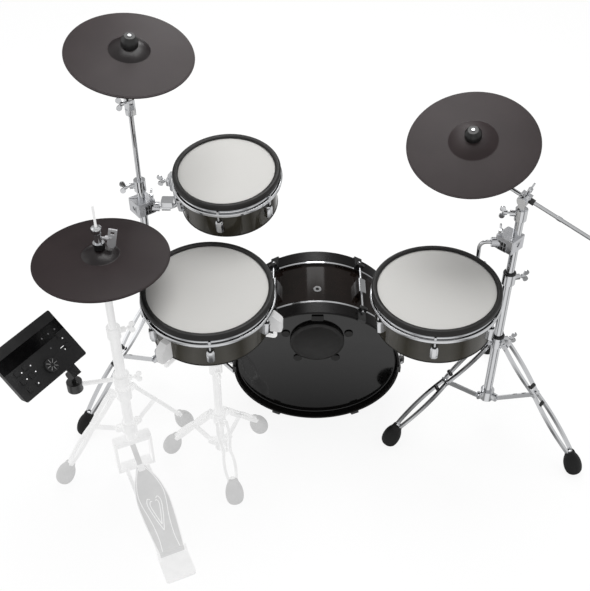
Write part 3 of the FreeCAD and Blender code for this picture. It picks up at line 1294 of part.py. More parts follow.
def boom_clamp():
    """Ratchet disc and split block that grip the boom, with the boom's axis as X and the hinge as Y."""
    half = RATCHET_SHEET / 2
    low = BOOM_OFFSET - BOOM_BLOCK_SIDE + FIT
    disc = Part.makeCylinder(RATCHET_RADIUS, RATCHET_SHEET, vec(0, -half - BOOM_OFFSET, 0), AWAY)
    grip = block(-BOOM_BLOCK_HALF_LENGTH, BOOM_BLOCK_HALF_LENGTH, half - BOOM_OFFSET - FIT, BOOM_BLOCK_SIDE,
                 -BOOM_BLOCK_HALF_HEIGHT, BOOM_BLOCK_HALF_HEIGHT)
    ferrule = Part.makeCylinder(BOOM_FERRULE_RADIUS, BOOM_FERRULE, vec(BOOM_BLOCK_HALF_LENGTH, 0, 0), RIGHT)
    reach = BOOM_BLOCK_HALF_LENGTH + BOOM_FERRULE + OVERRUN
    bore = Part.makeCylinder(BOOM_RADIUS + FIT, reach * 2, vec(-reach, 0, 0), RIGHT)
    bolt_hole = Part.makeCylinder(RATCHET_BOLT_RADIUS + FIT, RATCHET_SHEET + low,
                                  vec(0, -half - BOOM_OFFSET - OVERRUN, 0),
                                  AWAY)
    split = block(-reach, reach, 0, BOOM_BLOCK_SIDE + OVERRUN, -CLAMP_SPLIT / 2, CLAMP_SPLIT / 2)
    body = fused(disc, grip, ferrule).cut([bore, bolt_hole, split])
    bolt = bolt_at(vec(0, BOOM_BLOCK_SIDE / 2 + BOOM_RADIUS / 2, BOOM_BLOCK_HALF_HEIGHT), UP, AWAY)
    return [body] + bolt


def boom_arm():
    """Boom rod with the stop and hub seat at its tip, a band, and a rubber end, along X from the tip."""
    reach = (BOOM_CENTRE - RIDE_PIVOT).Length
    tip = -BOOM_HUB_HALF_LENGTH - FIT - BOOM_STOP
    last = reach + BOOM_TAIL
    pieces = [Part.makeCylinder(BOOM_RADIUS, last - tip, vec(tip, 0, 0), RIGHT),
              Part.makeCylinder(BOOM_STOP_RADIUS, BOOM_STOP, vec(tip, 0, 0), RIGHT),
              Part.makeCylinder(BOOM_STOP_RADIUS, BOOM_STOP, vec(BOOM_HUB_HALF_LENGTH + FIT, 0, 0), RIGHT),
              Part.makeCylinder(BOOM_BAND_RADIUS, BOOM_BAND, vec(reach + BOOM_BAND_PLACE, 0, 0), RIGHT),
              Part.makeCylinder(BOOM_BAND_RADIUS, BOOM_BAND, vec(last - BOOM_BAND, 0, 0), RIGHT)]
    return [fused(*pieces)]


def add_right_mast():
    corner = tom_rod_corner(RIGHT_TOM, pad_radii(RIGHT_TOM_RADIUS), RIGHT_BRACKET_ANGLE, RIGHT_CLAMP_Z)
    rod_angle = heading(RIGHT_STAND_X, RIGHT_STAND_Y, corner)
    clamp = clamp_block(RIGHT_CLAMP_Z, rod_angle, RIGHT_CLAMP_ANGLE, RIGHT_CLAMP_SHIFT, -FULL_TURN / 4)
    mast = [mast_tube(RIGHT_MAST_TOP_Z)] + clamp + ratchet_post()
    mast += top_collar(RIGHT_MAST_TOP_Z, RIGHT_TOP_BOLT_ANGLE, POST_RADIUS + SEAT)
    keep("right_mast", standing_at(mast, RIGHT_STAND_X, RIGHT_STAND_Y))
    keep("boom_clamp", placed(boom_clamp(), seat(BOOM_CENTRE, BOOM_AXIS.cross(BOOM_HINGE), BOOM_AXIS)))
    keep("boom_arm", placed(boom_arm(), seat(RIDE_PIVOT, BOOM_AXIS.cross(BOOM_HINGE), BOOM_AXIS)))
    end = RIGHT_TOM.multVec(around(pad_radii(RIGHT_TOM_RADIUS).bracket, RIGHT_BRACKET_ANGLE,
                                   -RIGHT_ROD_END))
    keep("right_tom_rod", [tom_rod(RIGHT_STAND_X, RIGHT_STAND_Y, RIGHT_CLAMP_Z, corner, end)])


# Hi-hat stand: its own frame has the tube on Z and the pedal along +X

def rigid_tripod(turns, collar_z, hub_z, tube_radius, foot_circle):
    """Legs, braces, collar and hub of a stand that stays open."""
    pivot_out = tube_radius + COLLAR_PIVOT - BASE_TUBE_RADIUS
    hub_out = tube_radius + HUB_PIVOT - BASE_TUBE_RADIUS
    solids = [leg_collar(collar_z, turns, tube_radius, pivot_out, SEAT),
              hub_casting(hub_z, turns, tube_radius, hub_out)]
    one_leg = leg(pivot_out, collar_z, foot_circle)
    one_brace = brace(hub_out, hub_z, leg_points(pivot_out, collar_z, foot_circle).waist)
    for angle in turns:
        solids += [turn(solid, angle) for solid in one_leg + [one_brace]]
    return solids


def pedal_frame():
    """Yoke under the tube, heel plate with its hinge pin, and the two rails between them."""
    wide = YOKE_HALF_WIDTH
    long = YOKE_HALF_LENGTH
    bridge = rounded_block(-long, long, -wide, wide, YOKE_TOP_Z - YOKE_BRIDGE, YOKE_TOP_Z, YOKE_SHEET)
    sides = [block(-long, long, low, low + YOKE_SHEET, 0, YOKE_TOP_Z - YOKE_BRIDGE / 2)
             for low in (-wide, wide - YOKE_SHEET)]
    base = block(-long, long, -wide, wide, 0, YOKE_BASE)
    rails = [block(0, HEEL_PLACE + RAIL_WIDTH, place - RAIL_WIDTH / 2, place + RAIL_WIDTH / 2, 0,
                   RAIL_HEIGHT)
             for place in (-RAIL_PLACE, RAIL_PLACE)]
    heel = rounded_block(HEEL_PLACE, HEEL_PLACE + HEEL_LENGTH, -HEEL_HALF_WIDTH, HEEL_HALF_WIDTH, 0,
                         HEEL_HEIGHT,
                         HEEL_HEIGHT)
    pin_x = HEEL_PLACE + HEEL_EAR_RADIUS + FIT
    ears = []
    for side in (-1, 1):
        edge = BOARD_HEEL_HALF_WIDTH + FIT
        y_low = min(side * edge, side * HEEL_HALF_WIDTH)
        width = HEEL_HALF_WIDTH - edge
        ears.append(Part.makeCylinder(HEEL_EAR_RADIUS, width, vec(pin_x, y_low, HEEL_PIVOT_Z), AWAY))
        ears.append(block(pin_x - HEEL_EAR_RADIUS, pin_x + HEEL_EAR_RADIUS, y_low, y_low + width, 0,
                          HEEL_PIVOT_Z))
    pin = Part.makeCylinder(HEEL_PIN_RADIUS, HEEL_HALF_WIDTH * 2,
                            vec(pin_x, -HEEL_HALF_WIDTH, HEEL_PIVOT_Z), AWAY)
    hole = cylinder(HIHAT_ROD_RADIUS + FIT * 2, 0, YOKE_TOP_Z + OVERRUN)
    yoke = fused(bridge, base, *sides).cut(hole)
    strap_slot = block(-STRAP_SHEET / 2 - FIT, STRAP_SHEET / 2 + FIT, -STRAP_HALF_WIDTH - FIT,
                       STRAP_HALF_WIDTH + FIT,
                       YOKE_BASE, YOKE_TOP_Z + OVERRUN)
    return fused(yoke.cut(strap_slot), heel, pin, *rails, *ears)


def hihat_stand():
    turns = [angle - HIHAT_PEDAL_ANGLE for angle in HIHAT_LEG_ANGLES]
    inner = HIHAT_UPPER_RADIUS + FIT
    lower = tube(HIHAT_TUBE_RADIUS, inner, YOKE_TOP_Z, HIHAT_JOINT_Z)
    upper = tube(HIHAT_UPPER_RADIUS, HIHAT_ROD_RADIUS + FIT * 2, HIHAT_JOINT_Z - MAST_INSERT, HIHAT_CUP_Z)
    socket = cylinder(SOCKET_RADIUS, HIHAT_JOINT_Z - SOCKET_HEIGHT / 2, HIHAT_JOINT_Z + SOCKET_HEIGHT / 2)
    bores = [cylinder(HIHAT_TUBE_RADIUS + SEAT, HIHAT_JOINT_Z - SOCKET_HEIGHT, HIHAT_JOINT_Z),
             cylinder(HIHAT_UPPER_RADIUS + SEAT, 0, HIHAT_CUP_Z)]
    cup = turned([(HIHAT_ROD_RADIUS + FIT * 2, HIHAT_CUP_Z),
                  (HIHAT_UPPER_RADIUS + BOSS_REACH / 2, HIHAT_CUP_Z),
                  (HIHAT_CUP_RADIUS, HIHAT_CUP_Z + HIHAT_CUP_HEIGHT / 2),
                  (HIHAT_CUP_RADIUS, HIHAT_CUP_Z + HIHAT_CUP_HEIGHT),
                  (HIHAT_ROD_RADIUS + FIT * 2, HIHAT_CUP_Z + HIHAT_CUP_HEIGHT)])
    solids = [pedal_frame(), lower, upper, cup]
    solids += bossed(socket, SOCKET_RADIUS, FULL_TURN / 4, HIHAT_JOINT_Z, bores)
    return solids + rigid_tripod(turns, HIHAT_COLLAR_Z, HIHAT_HUB_Z, HIHAT_TUBE_RADIUS, HIHAT_FOOT_CIRCLE)


def board_frame():
    """Pivot, length and slope of the footboard."""
    pin_x = HEEL_PLACE + HEEL_EAR_RADIUS + FIT
    run = math.hypot(pin_x - BOARD_TOE_PLACE, BOARD_TOE_Z - HEEL_PIVOT_Z)
    slope = math.atan2(BOARD_TOE_Z - HEEL_PIVOT_Z, pin_x - BOARD_TOE_PLACE)
    return SimpleNamespace(pin=vec(pin_x, 0, HEEL_PIVOT_Z), run=run, slope=slope)


def footboard():
    """Board from the heel pin to the toe, with a waisted outline, drawn with X from the pin to the toe."""
    at = board_frame()
    belly = at.run * BOARD_BELLY_SHARE
    start = BOARD_PIN_GAP
    heel = BOARD_HEEL_HALF_WIDTH
    toe = BOARD_TOE_HALF_WIDTH
    edges = [line(vec(start, -heel, 0), vec(start, heel, 0)),
             line(vec(at.run, -toe, 0), vec(at.run, toe, 0))]
    for side in (-1, 1):
        edges.append(arc(vec(start, side * heel, 0), vec(belly, side * BOARD_BELLY_HALF_WIDTH, 0),
                         vec(at.run, side * toe, 0)))
    plate = Part.Face(Part.Wire(Part.__sortEdges__(edges))).extrude(vec(0, 0, BOARD_SHEET))
    plate.translate(vec(0, 0, -BOARD_SHEET / 2))
    eye = Part.makeCylinder(HEEL_EAR_RADIUS - FIT, heel * 2, vec(0, -heel, 0), AWAY)
    web = block(0, start + OVERRUN, -heel, heel, -BOARD_SHEET / 2, BOARD_SHEET / 2)
    bore = Part.makeCylinder(HEEL_PIN_RADIUS + FIT, heel * 2 + OVERRUN * 2, vec(0, -heel - OVERRUN, 0),
                             AWAY)
    board = fused(plate, web, eye).cut(bore)
    frame = seat(at.pin, vec(math.sin(at.slope), 0, math.cos(at.slope)),
                 vec(-math.cos(at.slope), 0, math.sin(at.slope)))
    return placed([board], frame)


def lock_screw():
    """Screw along X whose flat head stands across it, with a window in its upper half."""
    far = LOCK_NEAR + LOCK_WIDTH
    half = LOCK_HALF_HEIGHT
    outline = [(LOCK_NEAR, LOCK_CUT - half), (LOCK_NEAR + LOCK_CUT / 2, -half), (far - LOCK_CUT / 2, -half),
               (far, LOCK_CUT - half), (far, half), (LOCK_NEAR, half)]
    plate = Part.Face(polygon([vec(x, -LOCK_SHEET / 2, z) for x, z in outline])).extrude(AWAY * LOCK_SHEET)
    middle = LOCK_NEAR + LOCK_WIDTH / 2
    window = block(middle - LOCK_WINDOW / 2, middle + LOCK_WINDOW / 2, -LOCK_SHEET, LOCK_SHEET,
                   LOCK_WINDOW_Z - LOCK_WINDOW / 2, LOCK_WINDOW_Z + LOCK_WINDOW / 2)
    plate = plate.cut(window)
    plate.rotate(vec(LOCK_NEAR, 0, 0), AWAY, LOCK_LEAN_ANGLE)
    shank = Part.makeCylinder(WING_STEM_RADIUS, middle - CLUTCH_RADIUS, vec(CLUTCH_RADIUS, 0, 0), RIGHT)
    hub = Part.makeCylinder(WING_HUB_RADIUS, WING_HUB, vec(LOCK_NEAR - WING_HUB / 2, 0, 0), RIGHT)
    return fused(plate, shank, hub)


def clutch_body(low, hole):
    """Clutch round the pull rod: a soft foot on the bell, a neck and a chamfered cap."""
    nut = low + CLUTCH_NUT_HEIGHT
    cap = nut + CLUTCH_HEIGHT
    top = cap + CLUTCH_CAP_HEIGHT
    cut = CLUTCH_CAP_CHAMFER
    return turned([(hole, low), (CLUTCH_NUT_RADIUS, low), (CLUTCH_NUT_RADIUS, nut), (CLUTCH_RADIUS, nut),
                   (CLUTCH_RADIUS, cap), (CLUTCH_CAP_RADIUS, cap + cut), (CLUTCH_CAP_RADIUS, top - cut),
                   (CLUTCH_CAP_RADIUS - cut, top), (hole, top)])


def hihat_rod():
    """Pull rod with the strap over the pedal's toe, and the clutch that grips the pad."""
    strap_low = BOARD_TOE_Z + BOARD_SHEET / 2 / math.cos(board_frame().slope) + FIT
    strap = block(-STRAP_SHEET / 2, STRAP_SHEET / 2, -STRAP_HALF_WIDTH, STRAP_HALF_WIDTH, strap_low,
                  strap_low + STRAP_HALF_WIDTH)
    pull = fused(cylinder(HIHAT_ROD_RADIUS, strap_low, HIHAT_ROD_TOP_Z), strap)
    low = HIHAT_Z + BELL_TOP + FIT
    hole = HIHAT_ROD_RADIUS + SEAT
    clutch = clutch_body(low, hole)
    screw = turn(lock_screw(), -HIHAT_PEDAL_ANGLE)
    screw.translate(UP * (low + CLUTCH_NUT_HEIGHT + CLUTCH_HEIGHT / 2))
    under = HIHAT_Z + BELL_TOP - DOME_RADIUS
    lock = tube(CLUTCH_NUT_RADIUS - FIT, hole, under - CLUTCH_NUT_HEIGHT, under)
    bush = tube(CYMBAL_HOLE - FIT, hole, under, low - FIT)
    return [pull, clutch.cut(screw), lock, bush, screw]


def add_hihat():
    frame = FreeCAD.Placement(vec(HIHAT_X, HIHAT_Y, 0), FreeCAD.Rotation(UP, HIHAT_PEDAL_ANGLE))
    keep("hihat_stand", placed(hihat_stand(), frame))
    keep("hihat_footboard", placed(footboard(), frame))
    keep("hihat_rod", placed(hihat_rod(), frame))
    pad = [cymbal_pad(HIHAT_RADIUS, HIHAT_BELL_RADIUS), cymbal_pod(HIHAT_RADIUS, HIHAT_BELL_RADIUS)]
    keep("hihat_pad", placed(pad, FreeCAD.Placement(vec(HIHAT_X, HIHAT_Y, HIHAT_Z), FreeCAD.Rotation())))


# Snare stand

def snare_stand():
    turns = leg_turns(SNARE_LEG_ANGLE)
    low = SNARE_HUB_Z - HUB_HEIGHT / 2
    pole = tube(SNARE_TUBE_RADIUS, SNARE_POST_RADIUS + FIT, low, SNARE_TUBE_TOP_Z)
    socket = cylinder(SOCKET_RADIUS, SNARE_TUBE_TOP_Z - SOCKET_HEIGHT / 2,
                      SNARE_TUBE_TOP_Z + SOCKET_HEIGHT / 2)
    bores = [cylinder(SNARE_TUBE_RADIUS + SEAT, SNARE_TUBE_TOP_Z - SOCKET_HEIGHT, SNARE_TUBE_TOP_Z),
             cylinder(SNARE_POST_RADIUS + FIT, SNARE_TUBE_TOP_Z - OVERRUN,
                      SNARE_TUBE_TOP_Z + SOCKET_HEIGHT)]
    solids = [pole] + bossed(socket, SOCKET_RADIUS, SNARE_LEG_ANGLE, SNARE_TUBE_TOP_Z, bores)
    return solids + rigid_tripod(turns, SNARE_COLLAR_Z, SNARE_HUB_Z, SNARE_TUBE_RADIUS, SNARE_FOOT_CIRCLE)


def basket_grip(at):
    """Rubber grip round the lower edge of the snare: a block with a sloped back, on an arm along +X."""
    face_out = at.shell + SHELL_OVERHANG / 2 + FIT
    sole = -PAD_DEPTH - EDGE_RING_HEIGHT - FIT
    low = sole - GRIP_SOLE
    high = low + GRIP_HEIGHT
    half = GRIP_HALF_WIDTH
    back = face_out + GRIP_SHEET
    side = [(face_out - GRIP_TOE, low), (back, low), (back, low + GRIP_HEIGHT * GRIP_SHOULDER_SHARE),
            (face_out + GRIP_LIP, high), (face_out - GRIP_TOE, high)]
    wedge = Part.Face(polygon([vec(x, -half, z) for x, z in side])).extrude(AWAY * (half * 2))
    rounded = rounded_block(face_out - GRIP_TOE, back, -half, half, low, high, GRIP_ROUND)
    return wedge.common(rounded).cut(cylinder(face_out, sole, high + OVERRUN))


def snare_basket():
    """Post with a hub, three arms and the grips on their ends, in the snare's own frame but for the post."""
    at = pad_radii(SNARE_RADIUS)
    arm_z = -PAD_DEPTH - EDGE_RING_HEIGHT - FIT - GRIP_SOLE - BASKET_DROP
    hub = cylinder(BASKET_HUB_RADIUS, arm_z - BASKET_HUB_HEIGHT / 2, arm_z + BASKET_HUB_HEIGHT / 2)
    grip = basket_grip(at)
    end = at.shell + SHELL_OVERHANG + GRIP_SHEET / 2
    arms = []
    grips = []
    for angle in BASKET_ANGLES:
        path = bent_rod(vec(0, 0, arm_z), vec(end, 0, arm_z), vec(end, 0, arm_z + BASKET_DROP),
                        BASKET_ROD_RADIUS,
                        BASKET_ROD_RADIUS + FIT)
        arms.append(turn(path, angle))
        grips.append(turn(grip, angle))
    spider = placed([fused(hub, *arms)], SNARE)[0]
    centre = SNARE.multVec(vec(0, 0, arm_z))
    foot = vec(SNARE_STAND_X, SNARE_STAND_Y, SNARE_TUBE_TOP_Z - SNARE_POST_INSERT)
    knee = vec(SNARE_STAND_X, SNARE_STAND_Y, SNARE_TUBE_TOP_Z + SOCKET_HEIGHT)
    post = rod(foot, knee + UP * SOCKET_RADIUS, SNARE_POST_RADIUS)
    neck = rod(knee + UP * SOCKET_RADIUS, centre, SNARE_POST_RADIUS)
    elbow = Part.makeSphere(SNARE_POST_RADIUS, knee + UP * SOCKET_RADIUS)
    return [fused(spider, post, neck, elbow)] + placed(grips, SNARE)


# Sound module, in a frame with the control panel on z = 0

def key_places():
    places = [(KEY_FIRST_X + KEY_PITCH_X * column, KEY_FIRST_Y + KEY_PITCH_Y * row)
              for column in range(KEY_COLUMNS) for row in range(KEY_ROWS)]
    return places + [(SIDE_KEY_X, SIDE_KEY_FIRST_Y + SIDE_KEY_PITCH * index)
                     for index in range(SIDE_KEY_COUNT)]


def key_block(x, y, margin, low, high):
    half = KEY_SIZE / 2 + margin
    return block(x - half, x + half, y - half, y + half, low, high)


def mount_place():
    """Place of the mount's pivot along the panel and below it."""
    return -MODULE_LENGTH / 2 - MOUNT_PLATE_REACH, -MODULE_HEIGHT - MOUNT_PIVOT_DROP


def module_case():
    """Drafted housing with a screen recess, key pockets, a dial hole, a row of jacks and mounting ears."""
    half_x = MODULE_WIDTH / 2
    half_y = MODULE_LENGTH / 2
    top = rounded_rectangle(-half_x, half_x, -half_y, half_y, MODULE_CORNER, 0)
    bottom = rounded_rectangle(MODULE_DRAFT - half_x, half_x - MODULE_DRAFT, MODULE_DRAFT - half_y,
                               half_y - MODULE_DRAFT, MODULE_CORNER, -MODULE_HEIGHT)
    body = Part.makeLoft([bottom, top], True, True)
    cuts = [block(SCREEN_PLACE_X - SCREEN_WIDTH / 2, SCREEN_PLACE_X + SCREEN_WIDTH / 2,
                  SCREEN_PLACE_Y - SCREEN_LENGTH / 2, SCREEN_PLACE_Y + SCREEN_LENGTH / 2, -SCREEN_RECESS,
                  OVERRUN)]
    cuts += [key_block(x, y, FIT, -KEY_POCKET, OVERRUN) for x, y in key_places()]
    hole = cylinder(DIAL_STEM_RADIUS + FIT, -DIAL_STEM - OVERRUN, OVERRUN)
    hole.translate(vec(DIAL_X, DIAL_Y, 0))
    cuts.append(hole)
    first = -MODULE_JACK_PITCH * (MODULE_JACK_COUNT - 1) / 2
    for index in range(MODULE_JACK_COUNT):
        cuts.append(Part.makeCylinder(JACK_BORE_RADIUS, MODULE_JACK_DEPTH,
                                      vec(first + MODULE_JACK_PITCH * index, half_y - MODULE_JACK_DEPTH,
                                          -MODULE_JACK_DROP),
                                      AWAY))
    body = body.cut(cuts)
    return fused(body, *module_ears())


def module_ears():
    """Plate under the case that reaches past its front edge, with two ears and a pin for the mount."""
    y, pivot_z = mount_place()
    edge = MOUNT_EYE_WIDTH / 2 + FIT
    half = edge + MOUNT_EAR_SHEET
    low = -MODULE_HEIGHT - MOUNT_EAR_SHEET
    shapes = [block(MOUNT_PLACE_X - half, MOUNT_PLACE_X + half, y - MOUNT_EYE_RADIUS,
                    y + MOUNT_PLATE_REACH + MOUNT_PLATE_INSET,
                    low, -MODULE_HEIGHT)]
    for side in (-1, 1):
        x_low = MOUNT_PLACE_X + min(side * edge, side * half)
        shapes.append(block(x_low, x_low + MOUNT_EAR_SHEET, y - MOUNT_EYE_RADIUS, y + MOUNT_EYE_RADIUS,
                            pivot_z, low))
        shapes.append(Part.makeCylinder(MOUNT_EYE_RADIUS, MOUNT_EAR_SHEET, vec(x_low, y, pivot_z), RIGHT))
    shapes.append(Part.makeCylinder(MOUNT_PIN_RADIUS, half * 2, vec(MOUNT_PLACE_X - half, y, pivot_z),
                                    RIGHT))
    return shapes


def module_dial():
    """Dial with a finger dish and a stem down into the case."""
    knob = turned([(0, -DIAL_STEM), (DIAL_STEM_RADIUS, -DIAL_STEM), (DIAL_STEM_RADIUS, FIT),
                   (DIAL_RADIUS, FIT),
                   (DIAL_RADIUS, DIAL_HEIGHT - DIAL_STEM_RADIUS / 2),
                   (DIAL_RADIUS - DIAL_STEM_RADIUS / 2, DIAL_HEIGHT),
                   (0, DIAL_HEIGHT)])
    knob.translate(vec(DIAL_X, DIAL_Y, 0))
    return knob


def module_pivot():
    y, z = mount_place()
    return MODULE.multVec(vec(MOUNT_PLACE_X, y, z))


def module_mount():
    """Clamp ring on the hi-hat tube, a rod, and a round housing whose post ends in the module's eye."""
    pivot = module_pivot()
    axis = MODULE.Rotation.multVec(RIGHT)
    eye = Part.makeCylinder(MOUNT_EYE_RADIUS, MOUNT_EYE_WIDTH, pivot - axis * (MOUNT_EYE_WIDTH / 2), axis)
    bore = Part.makeCylinder(MOUNT_PIN_RADIUS + FIT, MOUNT_EYE_WIDTH * 2, pivot - axis * MOUNT_EYE_WIDTH,
                             axis)
    start = vec(HIHAT_X, HIHAT_Y, MOUNT_CLAMP_Z)
    corner = vec(pivot.x, pivot.y, MOUNT_CLAMP_Z)
    out = (corner - start).normalize()
    ring = Part.makeCylinder(MOUNT_RING_RADIUS, MOUNT_RING_HEIGHT, start - UP * (MOUNT_RING_HEIGHT / 2))
    tube_bore = Part.makeCylinder(HIHAT_TUBE_RADIUS + SEAT, MOUNT_RING_HEIGHT * 2,
                                  start - UP * MOUNT_RING_HEIGHT)
    boss_end = start - out * (MOUNT_RING_RADIUS + BOSS_REACH / 2)
    clamp = fused(ring, rod(start, corner, MOUNT_ROD_RADIUS),
                  rod(start, boss_end, BOLT_BOSS_RADIUS)).cut(tube_bore)
    housing = rod(corner - UP * MOUNT_HOUSING_LOW, corner + UP * MOUNT_HOUSING_HIGH, MOUNT_HOUSING_RADIUS)
    knuckle = fused(housing, rod(corner, pivot, MOUNT_POST_RADIUS), eye).cut([bore, clamp])
    return [clamp, knuckle] + bolt_at(boss_end, out * -1, UP)


def add_module():
    keep("module_case", placed([module_case()], MODULE))
    keep("module_dial", placed([module_dial()], MODULE))
    keys = [key_block(x, y, 0, KEY_RISE - KEY_HEIGHT, KEY_RISE) for x, y in key_places()]
    keep("module_buttons", placed(keys, MODULE))
    keep("module_mount", module_mount())


# Frames of the groups and the axes that they turn on

KICK_LIFT = KICK_HOOP_RADIUS * math.cos(math.radians(KICK_LEAN_ANGLE))
KICK_AXIS = vec(0, math.cos(math.radians(KICK_LEAN_ANGLE)), math.sin(math.radians(KICK_LEAN_ANGLE)))
KICK = seat(vec(KICK_X, KICK_BATTER_Y, KICK_LIFT) + KICK_AXIS * KICK_DEPTH, KICK_AXIS * -1, RIGHT)
SNARE = seat(vec(SNARE_X, SNARE_Y, SNARE_Z), leaning(SNARE_FRONT_LEAN_ANGLE, SNARE_RIGHT_LEAN_ANGLE), RIGHT)
LEFT_TOM = seat(vec(LEFT_TOM_X, LEFT_TOM_Y, LEFT_TOM_Z),
                leaning(LEFT_TOM_FRONT_LEAN_ANGLE, LEFT_TOM_RIGHT_LEAN_ANGLE), RIGHT)
RIGHT_TOM = seat(vec(RIGHT_TOM_X, RIGHT_TOM_Y, RIGHT_TOM_Z),
                 leaning(RIGHT_TOM_FRONT_LEAN_ANGLE, RIGHT_TOM_RIGHT_LEAN_ANGLE), RIGHT)
CRASH_NORMAL = leaning(CRASH_FRONT_LEAN_ANGLE, CRASH_RIGHT_LEAN_ANGLE)
CRASH_PIVOT = vec(LEFT_STAND_X, LEFT_STAND_Y, CRASH_PIVOT_Z)
CRASH_HINGE = UP.cross(CRASH_NORMAL).normalize()
CRASH_HINGE_ANGLE = math.degrees(math.atan2(CRASH_HINGE.y, CRASH_HINGE.x))
CRASH = seat(CRASH_PIVOT + CRASH_NORMAL * CRASH_SPINDLE, CRASH_NORMAL, CRASH_HINGE.cross(CRASH_NORMAL))
RIDE_NORMAL = leaning(RIDE_FRONT_LEAN_ANGLE, RIDE_RIGHT_LEAN_ANGLE)
RIDE = seat(vec(RIDE_X, RIDE_Y, RIDE_Z), RIDE_NORMAL, RIGHT)
RIDE_PIVOT = RIDE.multVec(vec(0, 0, -RIDE_SPINDLE))
BOOM_FOOT = vec(RIGHT_STAND_X, RIGHT_STAND_Y, BOOM_CLAMP_Z)
BOOM_RUN = vec(BOOM_FOOT.x - RIDE_PIVOT.x, BOOM_FOOT.y - RIDE_PIVOT.y, 0)
BOOM_SWERVE = math.asin(BOOM_OFFSET / BOOM_RUN.Length)
BOOM_HINGE_ANGLE = math.degrees(math.atan2(BOOM_RUN.y, BOOM_RUN.x) + BOOM_SWERVE) + FULL_TURN / 4
BOOM_HINGE = around(1, BOOM_HINGE_ANGLE)
BOOM_CENTRE = BOOM_FOOT + BOOM_HINGE * BOOM_OFFSET
BOOM_AXIS = (BOOM_CENTRE - RIDE_PIVOT).normalize()
MODULE_TILT = FreeCAD.Rotation(RIGHT,
                               MODULE_SLOPE_ANGLE).multiply(FreeCAD.Rotation(AWAY, MODULE_ROLL_ANGLE))
MODULE = FreeCAD.Placement(vec(MODULE_X, MODULE_Y, MODULE_Z),
                           FreeCAD.Rotation(UP, MODULE_ANGLE).multiply(MODULE_TILT))

PIECES = {}


def keep(name, solids):
    PIECES[name] = Part.makeCompound([solid for shape in solids for solid in shape.Solids])


def export_pieces():
    """Move the kit so that its origin is the middle of its footprint on the floor, and write each piece."""
    box = Part.makeCompound(list(PIECES.values())).BoundBox
    shift = vec(-box.Center.x, -box.Center.y, -box.ZMin)
    os.makedirs("parts", exist_ok=True)
    for name, shape in PIECES.items():
        moved = shape.copy()
        moved.translate(shift)
        moved.exportStep("parts/%s.step" % name)
    return shift


add_kick()
add_pad("snare", SNARE, SNARE_RADIUS, SNARE_LUG_ANGLE, SNARE_JACK_ANGLE)
add_pad("left_tom", LEFT_TOM, LEFT_TOM_RADIUS, LEFT_TOM_LUG_ANGLE, LEFT_TOM_JACK_ANGLE, LEFT_BRACKET_ANGLE)
add_pad("right_tom", RIGHT_TOM, RIGHT_TOM_RADIUS, RIGHT_TOM_LUG_ANGLE, RIGHT_TOM_JACK_ANGLE,
        RIGHT_BRACKET_ANGLE)
add_tripod("left", LEFT_STAND_X, LEFT_STAND_Y, LEFT_LEG_ANGLE, LEFT_BOLT_ANGLE)
add_left_mast()
add_crash()
add_tripod("right", RIGHT_STAND_X, RIGHT_STAND_Y, RIGHT_LEG_ANGLE, RIGHT_BOLT_ANGLE)
add_right_mast()
add_ride()
add_hihat()
keep("snare_stand", standing_at(snare_stand(), SNARE_STAND_X, SNARE_STAND_Y))
keep("snare_basket", snare_basket())
add_module()
SHIFT = export_pieces()
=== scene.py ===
# %% [markdown]
# # An electronic drum kit
# Some pieces are kept and only given a finish, others are remade with the finer shapes that the eye
# expects. Everything is in metres.

# %% Load the construction model
import json
import math

import bmesh
import bpy
import numpy as np
from mathutils import Matrix, Vector


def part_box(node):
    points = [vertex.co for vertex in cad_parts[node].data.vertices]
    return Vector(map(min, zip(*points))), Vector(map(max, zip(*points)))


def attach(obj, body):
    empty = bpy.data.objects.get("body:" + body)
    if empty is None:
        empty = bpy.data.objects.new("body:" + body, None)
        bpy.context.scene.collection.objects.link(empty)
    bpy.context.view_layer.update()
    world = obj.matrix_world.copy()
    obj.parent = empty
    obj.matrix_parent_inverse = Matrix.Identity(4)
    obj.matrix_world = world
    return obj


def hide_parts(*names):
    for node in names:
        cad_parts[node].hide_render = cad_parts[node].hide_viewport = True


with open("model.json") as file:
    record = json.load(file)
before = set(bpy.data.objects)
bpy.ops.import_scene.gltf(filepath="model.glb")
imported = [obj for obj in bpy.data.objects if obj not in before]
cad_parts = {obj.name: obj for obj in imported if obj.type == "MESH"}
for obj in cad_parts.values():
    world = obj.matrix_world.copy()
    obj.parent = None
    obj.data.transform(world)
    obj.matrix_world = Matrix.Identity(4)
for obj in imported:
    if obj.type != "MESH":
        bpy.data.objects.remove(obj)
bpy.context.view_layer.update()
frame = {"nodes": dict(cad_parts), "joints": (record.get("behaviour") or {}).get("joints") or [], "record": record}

NODES = frame["nodes"]
BODY_OF = {node: body for body, nodes in frame["record"]["behaviour"]["bodies"].items() for node in nodes}
JOINTS = {joint["name"]: joint for joint in frame["joints"]}

# %% [markdown]
# ## Camera
# The camera of the photograph was worked out from the ellipses of the round heads: it stands on the
# player's side, a little over two metres up, and looks down by forty degrees.

# %% Camera
HIHAT_IN_PLAN = Vector((-0.463, -0.177, 0))
CAMERA_IN_PLAN = Vector((0, -1.930, 2.112))
CAMERA_DOWN = math.radians(40)
FOCAL_PIXELS = 927
FRAME_PIXELS = 591
SENSOR_MM = 36

